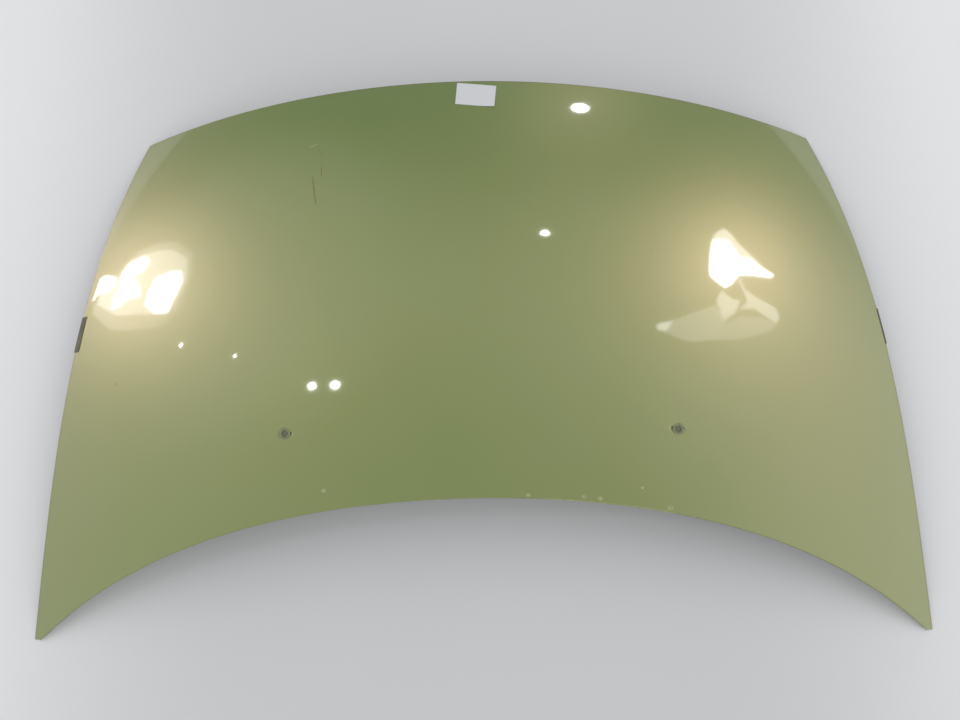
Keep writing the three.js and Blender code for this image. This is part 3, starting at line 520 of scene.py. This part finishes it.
# Tones of the paint, of what lies on it, and of the shade painted along its edges
PAINT_GRAINS = ((0.040, 0.183, 0.018), (0.048, 0.196, 0.022))
PAINT_CLOUDS = (0.050, 0.191, 0.023)
PAINT_GLOSS = (1.0, 0.68, 0.43, 1.0)
PAINT_DUST = (0.42, 0.42, 0.36)
# Painted shade: a darker tone along the side and front edges and on the outside of the hem's fold, where
# the edge turns from the light
HEM_SHADE_TONE = (0.060, 0.055, 0.038)
SCRATCH_TONE = (0.030, 0.040, 0.016)
CHIP_TONE = (0.42, 0.43, 0.30)
HEM_SHADE_REACH = (0.0018, 0.0034)  # in from the edge: full up to the first, gone at the second

# Dull finishes: dark tone, light tone, roughness, and the scale and depth of the grain
DULL_FINISHES = {
    "black_rubber": ((0.016, 0.016, 0.015), (0.035, 0.034, 0.032), 0.75, 600, 0.0002),
    "worn_rubber": ((0.095, 0.088, 0.055), (0.145, 0.135, 0.085), 0.7, 500, 0.0003),
    "jet_plastic": ((0.20, 0.215, 0.115), (0.25, 0.26, 0.15), 0.5, 900, 0.0001),
    "nozzle_plastic": ((0.17, 0.165, 0.12), (0.24, 0.23, 0.18), 0.5, 900, 0.0001),
    "moulded_plastic": ((0.03, 0.032, 0.028), (0.05, 0.05, 0.045), 0.55, 800, 0.0001),
    "grey_mastic": ((0.24, 0.22, 0.19), (0.36, 0.34, 0.3), 0.85, 350, 0.0004),
}


# Materials
def material(name, **sockets):
    """A material with one shader whose uniform values are set on its own sockets."""
    finish = bpy.data.materials.new(name)
    finish.use_nodes = True
    shader = finish.node_tree.nodes["Principled BSDF"]
    for socket, value in sockets.items():
        shader.inputs[socket.replace("_", " ")].default_value = value
    return finish, finish.node_tree, shader


def object_place(tree):
    coordinates = tree.nodes.new("ShaderNodeTexCoord")
    return taken_apart(tree, coordinates.outputs["Object"])


def noise(tree, scale):
    """Noise in object coordinates, from 0 to 1; its scale is a number or a field."""
    coordinates = tree.nodes.new("ShaderNodeTexCoord")
    texture = tree.nodes.new("ShaderNodeTexNoise")
    texture.inputs["Detail"].default_value = 3.0
    tree.links.new(coordinates.outputs["Object"], texture.inputs["Vector"])
    feed(tree, texture.inputs["Scale"], scale)
    return Field(tree, texture.outputs["Fac"])


def blended(tree, mask, first, second):
    """A colour from first to second by a mask; colours are tuples or sockets."""
    node = tree.nodes.new("ShaderNodeMix")
    node.data_type = "RGBA"
    tree.links.new(mask.socket, node.inputs["Factor"])
    for name, colour in (("A", first), ("B", second)):
        socket = next(s for s in node.inputs if s.name == name and s.type == "RGBA")
        if isinstance(colour, tuple):
            socket.default_value = (*colour, 1.0)
        else:
            tree.links.new(colour, socket)
    return next(s for s in node.outputs if s.type == "RGBA")


def bump(tree, shader, height, strength, distance):
    node = tree.nodes.new("ShaderNodeBump")
    node.inputs["Strength"].default_value = strength
    node.inputs["Distance"].default_value = distance
    tree.links.new(height.socket, node.inputs["Height"])
    tree.links.new(node.outputs[0], shader.inputs["Normal"])


def upward(tree, low, high):
    """0 where the surface looks less far up than low, and 1 above high."""
    geometry = tree.nodes.new("ShaderNodeNewGeometry")
    return taken_apart(tree, geometry.outputs["Normal"])[2].between(low, high)


def grain_group():
    """Fine and broad unevenness that every finish takes, and a mask of settled dust."""
    tree = bpy.data.node_groups.new("uneven_finish", "ShaderNodeTree")
    for name, value in (("Fine scale", 900.0), ("Broad scale", 9.0), ("Dust", 0.2)):
        socket = tree.interface.new_socket(name, in_out="INPUT", socket_type="NodeSocketFloat")
        socket.default_value = value
    for name in ("Fine", "Broad", "Dust mask"):
        tree.interface.new_socket(name, in_out="OUTPUT", socket_type="NodeSocketFloat")
    inputs = tree.nodes.new("NodeGroupInput")
    output = tree.nodes.new("NodeGroupOutput")
    fine = noise(tree, Field(tree, inputs.outputs["Fine scale"]))
    broad = noise(tree, Field(tree, inputs.outputs["Broad scale"]))
    dust = (broad * 0.6 + fine * 0.4).between(0.4, 0.75) * upward(tree, 0.2, 0.95)
    mask = (dust * Field(tree, inputs.outputs["Dust"])).clamped()
    for field, socket in zip((fine, broad, mask), output.inputs):
        tree.links.new(field.socket, socket)
    return tree


def uneven(tree, group, fine_scale, broad_scale, dust):
    node = tree.nodes.new("ShaderNodeGroup")
    node.node_tree = group
    node.inputs["Fine scale"].default_value = fine_scale
    node.inputs["Broad scale"].default_value = broad_scale
    node.inputs["Dust"].default_value = dust
    return [Field(tree, socket) for socket in node.outputs]


# Marks on the outer side: the pixels that show their two ends, and their width in metres
DARK_MARKS = (
    ((312.5, 177.7), (316.0, 203.8), 0.0021),
    ((321.5, 168.0), (321.5, 176.0), 0.0015),
    ((319.5, 150.0), (321.0, 154.0), 0.0017),
    ((321.0, 203.0), (324.0, 203.0), 0.0015),
    ((115.8, 384.0), (116.1, 384.0), 0.0030),
    ((676.0, 484.5), (676.3, 484.5), 0.0016),
)
PALE_MARKS = (
    ((311.0, 147.0), (317.0, 144.0), 0.0014),
    ((528.0, 494.8), (528.7, 494.8), 0.0040),
    ((583.5, 497.0), (584.2, 497.0), 0.0036),
    ((600.0, 498.3), (600.7, 498.3), 0.0042),
    ((642.0, 487.7), (642.7, 487.7), 0.0026),
    ((670.0, 508.0), (670.7, 508.0), 0.0048),
    ((323.3, 490.9), (324.0, 490.9), 0.0040),
)
MARK_CORE = 0.35                  # share of a mark's width that is in full tone

# The worn stretch of the rear edge: along x, how far its ends fade, and how far in it reaches
WORN_EDGE = (0.075, 0.285)
WORN_EDGE_FADE = 0.02
WORN_EDGE_WIDTH = (0.0010, 0.0026)


def stroke(x, y, start, end, width):
    """A mask round the stretch between two spots."""
    run = (end[0] - start[0], end[1] - start[1])
    length = math.hypot(*run)
    along = ((x - start[0]) * (run[0] / length**2) + (y - start[1]) * (run[1] / length**2)).clamped()
    off_x = x - start[0] - along * run[0]
    off_y = y - start[1] - along * run[1]
    distance = (off_x * off_x + off_y * off_y).root()
    return 1.0 - distance.between(MARK_CORE * width, width)


def marks(x, y, strokes):
    """A mask round all the stretches between the spots that pairs of pixels show."""
    masks = [stroke(x, y, sight(start)[1], sight(end)[1], width) for start, end, width in strokes]
    return functools.reduce(Field.larger, masks)


def worn_edge(x, y):
    """A mask along the stretch of the rear edge where the paint has chipped off."""
    arch = REAR_Y - mixed(x / REAR_HALF, ARCH_ROLL) * (REAR_Y - TIP_Y)
    start, end = WORN_EDGE
    along = x.between(start, start + WORN_EDGE_FADE) * (1.0 - x.between(end - WORN_EDGE_FADE, end))
    return (1.0 - (y - arch).between(*WORN_EDGE_WIDTH)) * along


def painted_hem_shade(tree, x, y):
    """A mask of painted shade along the side and front edges and round the outside of the fold."""
    side = half_width(y)
    to_side = (side * side - x * x) / (side * 2.0)
    rim = 1.0 - to_side.smaller(front_edge(x) - y).between(*HEM_SHADE_REACH)
    return rim.larger(1.0 - upward(tree, 0.45, 0.7)) * upward(tree, -0.5, -0.2)


def paint_material(group):
    finish, tree, shader = material(
        "pearl_paint", Metallic=0.0, IOR=2.0, Specular_IOR_Level=1.0, Specular_Tint=PAINT_GLOSS,
        Coat_Roughness=0.052, Coat_IOR=1.5)
    fine, broad, dust = uneven(tree, group, 1400.0, 3.0, 0.35)
    x, y, _ = object_place(tree)
    ragged = noise(tree, 420.0)
    outside = upward(tree, 0.0, 0.2)
    scratched = marks(x, y, DARK_MARKS) * ragged.between(0.38, 0.55) * outside
    chipped = marks(x, y, PALE_MARKS) * ragged.between(0.3, 0.6)
    pale = chipped.larger(worn_edge(x, y) * ragged.between(0.42, 0.6)) * outside
    # fold: the mask of the painted shade along the edges and round the hem's fold
    fold = painted_hem_shade(tree, x, y)
    tone = blended(tree, fine.between(0.3, 0.7), *PAINT_GRAINS)
    tone = blended(tree, broad.between(0.3, 0.7), tone, PAINT_CLOUDS)
    tone = blended(tree, dust * 0.12, tone, PAINT_DUST)
    # painted shade along the edges and the fold: a darker tone here, and less coat below
    tone = blended(tree, fold * 0.6, tone, HEM_SHADE_TONE)
    tone = blended(tree, scratched, tone, SCRATCH_TONE)
    tone = blended(tree, pale * 0.7, tone, CHIP_TONE)
    tree.links.new(tone, shader.inputs["Base Color"])
    tree.links.new((fine * 0.06 + 0.45).socket, shader.inputs["Roughness"])
    coat = outside * 0.7 + 0.3 - scratched * 0.9 - dust * 0.1 - pale * 0.6 - fold * 0.8
    tree.links.new(coat.clamped().socket, shader.inputs["Coat Weight"])
    bump(tree, shader, fine - scratched * 2.0, 0.05, 0.0002)
    return finish


def frame_paint_material(group):
    finish, tree, shader = material(
        "frame_paint", Metallic=0.0, Specular_IOR_Level=0.6, Coat_Roughness=0.25, Coat_IOR=1.45)
    fine, broad, dust = uneven(tree, group, 500.0, 7.0, 0.8)
    tone = blended(tree, broad.between(0.3, 0.7), (0.115, 0.155, 0.048), (0.14, 0.18, 0.06))
    tone = blended(tree, dust * 0.5, tone, (0.30, 0.29, 0.25))
    tree.links.new(tone, shader.inputs["Base Color"])
    tree.links.new((broad * 0.15 + fine * 0.08 + 0.36).socket, shader.inputs["Roughness"])
    tree.links.new((0.35 - dust * 0.3).socket, shader.inputs["Coat Weight"])
    bump(tree, shader, fine, 0.12, 0.0003)
    return finish


def steel_material(group):
    finish, tree, shader = material("plated_steel", Metallic=1.0)
    fine, broad, dust = uneven(tree, group, 700.0, 60.0, 0.5)
    tone = blended(tree, broad.between(0.35, 0.65), (0.46, 0.45, 0.42), (0.62, 0.60, 0.54))
    tone = blended(tree, dust * 0.6, tone, (0.28, 0.25, 0.2))
    tree.links.new(tone, shader.inputs["Base Color"])
    tree.links.new((fine * 0.18 + 0.28).socket, shader.inputs["Roughness"])
    bump(tree, shader, fine, 0.15, 0.0002)
    return finish


def dull_material(group, name, dark, light, roughness, fine_scale, depth):
    """Rubber, moulded plastic, mastic: a dull skin with grain and dust."""
    finish, tree, shader = material(name, Metallic=0.0, Specular_IOR_Level=0.4)
    fine, broad, dust = uneven(tree, group, fine_scale, 45.0, 0.5)
    tone = blended(tree, (fine * 0.5 + broad * 0.5).between(0.35, 0.65), dark, light)
    tone = blended(tree, dust * 0.5, tone, tuple(min(1.0, v * 1.6 + 0.05) for v in light))
    tree.links.new(tone, shader.inputs["Base Color"])
    tree.links.new((fine * 0.2 + (roughness - 0.1)).socket, shader.inputs["Roughness"])
    bump(tree, shader, fine, 0.4, depth)
    return finish


def paper_material(group):
    finish, tree, shader = material("blank_paper", Metallic=0.0, Specular_IOR_Level=0.25)
    fine, broad, dust = uneven(tree, group, 1600.0, 55.0, 0.3)
    tone = blended(tree, fine.between(0.3, 0.7), (0.68, 0.69, 0.71), (0.76, 0.77, 0.785))
    tone = blended(tree, dust * 0.3, tone, (0.64, 0.64, 0.62))
    tree.links.new(tone, shader.inputs["Base Color"])
    tree.links.new((fine * 0.15 + 0.6).socket, shader.inputs["Roughness"])
    bump(tree, shader, fine * 0.2 + broad, 0.5, 0.0004)
    return finish


# Pieces
def washer_jets(plastic, dark):
    ball = [(0.0, NOZZLE_MIDDLE - NOZZLE_HEIGHT)]
    for a in np.linspace(*NOZZLE_ARC, NOZZLE_STEPS):
        ball.append((NOZZLE_RADIUS * math.sin(a), NOZZLE_MIDDLE - NOZZLE_HEIGHT * math.cos(a)))
    ball += NOZZLE_BORE
    for name, side in (("left", -1), ("right", 1)):
        where = seat(side * JET_X, JET_Y)
        head = turned(JET_PROFILE, JET_SIDES)
        jet = placed(f"washer_jet_{name}_finished", head, plastic, where, angle=30)
        fitted(jet, "plastic", f"washer_jet_{name}")
        nozzle = placed(f"jet_nozzle_{name}", turned(ball, NOZZLE_SIDES), dark, where, angle=40)
        fitted(nozzle, "plastic")


def rounded_section(corners, radius, steps):
    """A closed section with each corner cut to a short curve."""
    result = []
    count = len(corners)
    for i, corner in enumerate(corners):
        here = Vector(corner)
        back = Vector(corners[i - 1]) - here
        ahead = Vector(corners[(i + 1) % count]) - here
        cut = min(radius, back.length / 2.2, ahead.length / 2.2)
        start = here + back.normalized() * cut
        end = here + ahead.normalized() * cut
        for k in range(steps + 1):
            t = k / steps
            result.append(start * (1 - t) ** 2 + here * 2 * t * (1 - t) + end * t**2)
    return result


def side_buffers(rubber, tree):
    near, far = -FIT_GAP, HEM_THICKNESS + FIT_GAP
    top, bottom = near - BUFFER_LIP, far + BUFFER_WALL
    for name, side, overlap in BUFFER_OVERLAPS:
        section = rounded_section([
            (overlap, near), (overlap, top), (top, top), (top, bottom),
            (BUFFER_UNDERLAP, bottom), (BUFFER_UNDERLAP, far), (near, far), (near, near),
        ], BUFFER_EDGE, BUFFER_EDGE_STEPS)
        count = len(section)
        points = []
        for i in range(BUFFER_STEPS + 1):
            y = BUFFER_Y + BUFFER_LENGTH * (i / BUFFER_STEPS - 0.5)
            points += [(side * side_at(y, p.x), y, -p.y) for p in section]
        faces = []
        for i in range(BUFFER_STEPS):
            for k in range(count):
                n = (k + 1) % count
                faces.append((i * count + k, i * count + n, (i + 1) * count + n, (i + 1) * count + k))
        faces.append(tuple(range(count))[::-1])
        faces.append(tuple(BUFFER_STEPS * count + k for k in range(count)))
        if side < 0:
            faces = [face[::-1] for face in faces]
        buffer = pressed(f"side_buffer_{name}_finished", points, faces, rubber, tree, angle=50)
        fitted(buffer, "buffer_rubber", f"side_buffer_{name}")


def paper_label(paper, tree):
    """A blank label, with one corner a little lifted."""
    columns, rows = LABEL_STEPS
    a, b, c, d = [np.array(corner) for corner in LABEL_CORNERS]
    points = []
    for top in (0, 1):
        for j in range(rows + 1):
            for i in range(columns + 1):
                s, t = i / columns, j / rows
                place = (a * (1 - s) + b * s) * (1 - t) + (d * (1 - s) + c * s) * t
                curl = LABEL_CURL * max(0.0, s + 1 - t - LABEL_CURL_START) ** 2
                ripple = LABEL_RIPPLE * math.sin(LABEL_WAVES[0] * s + LABEL_WAVES[1] * t)
                points.append((*place, LABEL_GAP + top * LABEL_GAUGE + curl + ripple))
    size = (columns + 1) * (rows + 1)
    faces = []
    for j in range(rows):
        for i in range(columns):
            k = j * (columns + 1) + i
            low = (k, k + columns + 1, k + columns + 2, k + 1)
            faces.append(low)
            faces.append(tuple(size + v for v in low[::-1]))
    edge = list(range(columns + 1))
    edge += [j * (columns + 1) + columns for j in range(1, rows + 1)]
    edge += [rows * (columns + 1) + i for i in range(columns - 1, -1, -1)]
    edge += [j * (columns + 1) for j in range(rows - 1, 0, -1)]
    for k, n in zip(edge, edge[1:] + edge[:1]):
        faces.append((k, n, size + n, size + k))
    label = pressed("paper_label", points, faces, paper, tree, angle=40)
    fitted(label, "label")


def skin(finish, tree):
    points, faces = skin_pattern()
    piece = pressed("outer_skin_finished", points, faces, finish, tree)
    for side in (-1, 1):
        drum = [(0, -CUTTER_REACH), (JET_HOLE, -CUTTER_REACH), (JET_HOLE, CUTTER_REACH), (0, CUTTER_REACH)]
        cutter = placed("hole_cutter", turned(drum, JET_SIDES), finish, seat(side * JET_X, JET_Y))
        hole = piece.modifiers.new("hole", "BOOLEAN")
        hole.operation = "DIFFERENCE"
        hole.object = cutter
        baked(piece)
        bpy.data.objects.remove(cutter)
    fitted(piece, "paint", "outer_skin")


# The two lamps at the sides: the middle of each face and the point that it looks at
LEFT_LAMP = ((-2.27, 0.90, 0.74), (-0.55, 0.10, 0.09))
RIGHT_LAMP = ((1.62, 0.84, 1.58), (0.37, 0.07, 0.14))

# Their facets: brightness, and the pixels round the highlight of each; the first stand in front
FACET_STEP = 0.004
LEFT_FACETS = (
    (20.0, ((149, 289.5), (156, 277.5), (172, 271), (181.5, 271), (182.5, 281.5), (176.5, 294.5),
            (172, 302), (168, 313), (155, 314), (144.5, 305))),
    (20.0, ((129.5, 263), (144.5, 256), (150, 261), (146.5, 269), (133.5, 277.5), (139.5, 285.5),
            (140.5, 296.5), (125.5, 300), (121, 306), (111, 309.5), (113, 299), (120, 285.5),
            (122, 273.5))),
    (20.0, ((100, 279.5), (106, 275.5), (116, 277.5), (117, 283.5), (109, 291.5), (98, 294.5),
            (92.5, 302), (90.5, 308))),
    (5.6, ((171.5, 249), (156.5, 251), (144, 255), (132.5, 261.5), (125.5, 268.5), (118, 279),
           (104.5, 284.5), (97.5, 304.5), (117, 316), (134, 314.5), (155, 314.5), (168.5, 312.5),
           (175.5, 303.5), (182, 290), (187, 278), (187.5, 258))),
    (2.5, ((175.5, 241.5), (158, 243.5), (143.5, 249), (131.5, 257), (125.5, 264), (117, 275.5),
           (103, 281.5), (92.5, 313), (111, 330.5), (127.5, 330.5), (158, 327.5), (170, 318),
           (180.5, 308), (185.5, 291.5), (191.5, 275.5), (193.5, 253))),
)
RIGHT_FACETS = (
    (33.0, ((712.5, 240), (728.5, 240), (734, 249), (739.5, 257.5), (749.5, 258.5), (760, 267),
            (774, 275), (770, 278), (758, 276), (738.5, 275), (732, 283.5), (725.5, 288),
            (719, 283.5), (710, 276), (709.5, 265), (710, 254))),
    (8.0, ((712.5, 240), (712.5, 236), (718, 231), (724.5, 228.5), (731, 233.5), (738.5, 243.5),
           (752.5, 256.5), (763.5, 267), (760, 267), (749.5, 258.5), (739.5, 257.5), (734, 249),
           (728.5, 240))),
    (6.0, ((739.5, 275), (745, 290), (758, 298.5), (775.5, 307.5), (779.5, 317), (776.5, 323.5),
           (765.5, 317), (754.5, 308.5), (739.5, 309.5), (747, 301), (739.5, 282.5))),
    (6.5, ((722, 290), (729.5, 297.5), (740.5, 301), (734, 315), (727.5, 317), (725.5, 322.5),
           (720, 314), (716.5, 299.5))),
    (9.0, ((673.5, 320.5), (667, 330), (662.5, 331.5), (656, 328), (658, 323.5))),
    (3.4, ((673.5, 320.5), (686.5, 315), (697, 311.5), (710, 307.5), (715.5, 304), (720, 315),
           (724.5, 324.5), (720, 339), (695, 342), (682, 340), (670, 334.5), (656, 328),
           (657, 324.5))),
    (3.0, ((724.5, 324.5), (738.5, 317), (760, 317), (776.5, 323.5), (771, 331), (738.5, 340),
           (720, 340))),
)

# Round lamps overhead: the pixel where the paint mirrors each, its width and its power
CEILING_REACH = 2.0
CEILING_LAMPS = (
    ((580, 108), 0.10, 2.6),
    ((545, 233), 0.05, 0.5),
    ((312, 386), 0.05, 0.5),
    ((335, 385), 0.06, 0.6),
    ((181, 345), 0.03, 0.12),
    ((235, 356), 0.025, 0.07),
)

# The sky: its level overall, less of it ahead, more behind, and its level as a backdrop
SKY_LEVEL = 0.50
SKY_LESS_AHEAD = 0.24
SKY_MORE_BEHIND = 0.36
SKY_RAMP = (0.2, 0.95)
BACKDROP_LEVEL = 0.9

# Soft glows of the sky: the way to each, the cosine that it reaches to, and its brightness
SKY_GLOWS = (
    ((-0.54, 0.46, 0.70), 0.80, 0.62),
    ((0.33, 0.30, 0.89), 0.80, 0.34),
    ((0.92, -0.10, 0.38), 0.65, 0.78),
    ((-0.90, -0.10, 0.42), 0.65, 0.40),
)


# Camera, floor and light
def camera():
    data = bpy.data.cameras.new("camera")
    data.lens = LENS
    data.sensor_width = SENSOR
    data.clip_end = FAR_CLIP
    eye = linked("camera", data)
    eye.matrix_world = Matrix.Translation(CAMERA_PLACE) @ camera_turn().to_4x4()
    bpy.context.scene.camera = eye


def floor():
    finish, tree, shader = material("pale_floor", Roughness=0.7, Specular_IOR_Level=0.2)
    broad = noise(tree, 1.3)
    x, _, _ = object_place(tree)
    tone = blended(tree, broad, (0.67, 0.67, 0.675), (0.71, 0.71, 0.715))
    # Painted light: the floor's tone grows lighter towards both sides, away from the middle line under the
    # bonnet, as if more light fell there
    tone = blended(tree, (x * x).between(0.1, 0.8), tone, (0.90, 0.90, 0.905))
    tree.links.new(tone, shader.inputs["Base Color"])
    mesh = bpy.data.meshes.new("floor")
    reach = 8.0
    corners = [(-reach, -reach, 0), (reach, -reach, 0), (reach, reach, 0), (-reach, reach, 0)]
    mesh.from_pydata(corners, [], [(0, 1, 2, 3)])
    mesh.materials.append(finish)
    linked("floor", mesh)


def lamp(name, place, aim, size, power):
    data = bpy.data.lights.new(name, "AREA")
    data.shape = "DISK"
    data.size = size
    data.energy = power
    light = linked(name, data)
    light.location = place
    light.rotation_euler = (Vector(aim) - Vector(place)).to_track_quat("-Z", "Y").to_euler()
    light.visible_camera = False


def glowing_face(name, place, aim, facets):
    """The creased face of a lamp: flat facets of different brightness that the paint mirrors."""
    out = (Vector(place) - Vector(aim)).normalized()
    for i, (brightness, outline) in enumerate(facets):
        middle = Vector(place) + out * FACET_STEP * i
        points = []
        for pixel in outline:
            spot, way = mirrored(pixel)
            points.append(spot + way * ((middle - spot).dot(out) / way.dot(out)))
        mesh = bpy.data.meshes.new(f"{name}_{i + 1}")
        mesh.from_pydata([tuple(point) for point in points], [], [tuple(range(len(points)))])
        glow, _, _ = material(
            f"{name}_glow_{i + 1}", Base_Color=(0, 0, 0, 1), Specular_IOR_Level=0.0,
            Emission_Color=(1, 1, 1, 1), Emission_Strength=brightness)
        mesh.materials.append(glow)
        facet = linked(mesh.name, mesh)
        facet.visible_camera = False
        facet.visible_diffuse = False


def lights():
    glowing_face("left_lamp", *LEFT_LAMP, LEFT_FACETS)
    glowing_face("right_lamp", *RIGHT_LAMP, RIGHT_FACETS)
    for i, (pixel, size, power) in enumerate(CEILING_LAMPS):
        spot, way = mirrored(pixel)
        lamp(f"ceiling_lamp_{i + 1}", spot + way * CEILING_REACH, spot, size, power)


def world():
    sky = bpy.data.worlds.new("studio")
    bpy.context.scene.world = sky
    sky.use_nodes = True
    tree = sky.node_tree
    background = tree.nodes["Background"]
    path = tree.nodes.new("ShaderNodeLightPath")
    seen = Field(tree, path.outputs["Is Camera Ray"])
    background.inputs["Color"].default_value = (0.97, 0.98, 1.0, 1.0)
    coordinates = tree.nodes.new("ShaderNodeTexCoord")
    x, y, z = taken_apart(tree, coordinates.outputs["Generated"])
    ahead = y.between(*SKY_RAMP)
    behind = (y * -1.0).between(*SKY_RAMP)
    level = SKY_LEVEL - ahead * SKY_LESS_AHEAD + behind * SKY_MORE_BEHIND
    for way, reach, share in SKY_GLOWS:
        along = x * way[0] + y * way[1] + z * way[2]
        level = level + along.between(reach, 1.0) * share
    strength = level + seen * (BACKDROP_LEVEL - level)
    tree.links.new(strength.socket, background.inputs["Strength"])


def build():
    press = press_tree()
    group = grain_group()
    paint = paint_material(group)
    frame_paint = frame_paint_material(group)
    steel = steel_material(group)
    dull = {name: dull_material(group, name, *values) for name, values in DULL_FINISHES.items()}
    paper = paper_material(group)
    skin(paint, press)
    smooth_copy("inner_frame", frame_paint, "frame_paint", angle=28)
    washer_jets(dull["jet_plastic"], dull["nozzle_plastic"])
    side_buffers(dull["worn_rubber"], press)
    paper_label(paper, press)
    for node in frame["nodes"]:
        if node.startswith(("striker", "hinge")):
            smooth_copy(node, steel, "steel", bevel=STEEL_BEVEL)
        elif node.startswith(("jet_seal", "bump_stop")):
            smooth_copy(node, dull["black_rubber"], "rubber")
        elif node.startswith(("prop_socket", "frame_plug")):
            smooth_copy(node, dull["moulded_plastic"], "plastic")
        elif node.startswith("mastic_pad"):
            smooth_copy(node, dull["grey_mastic"], "mastic")
    floor()
    lights()
    world()
    camera()
    bpy.context.scene.view_settings.view_transform = "Standard"


build()
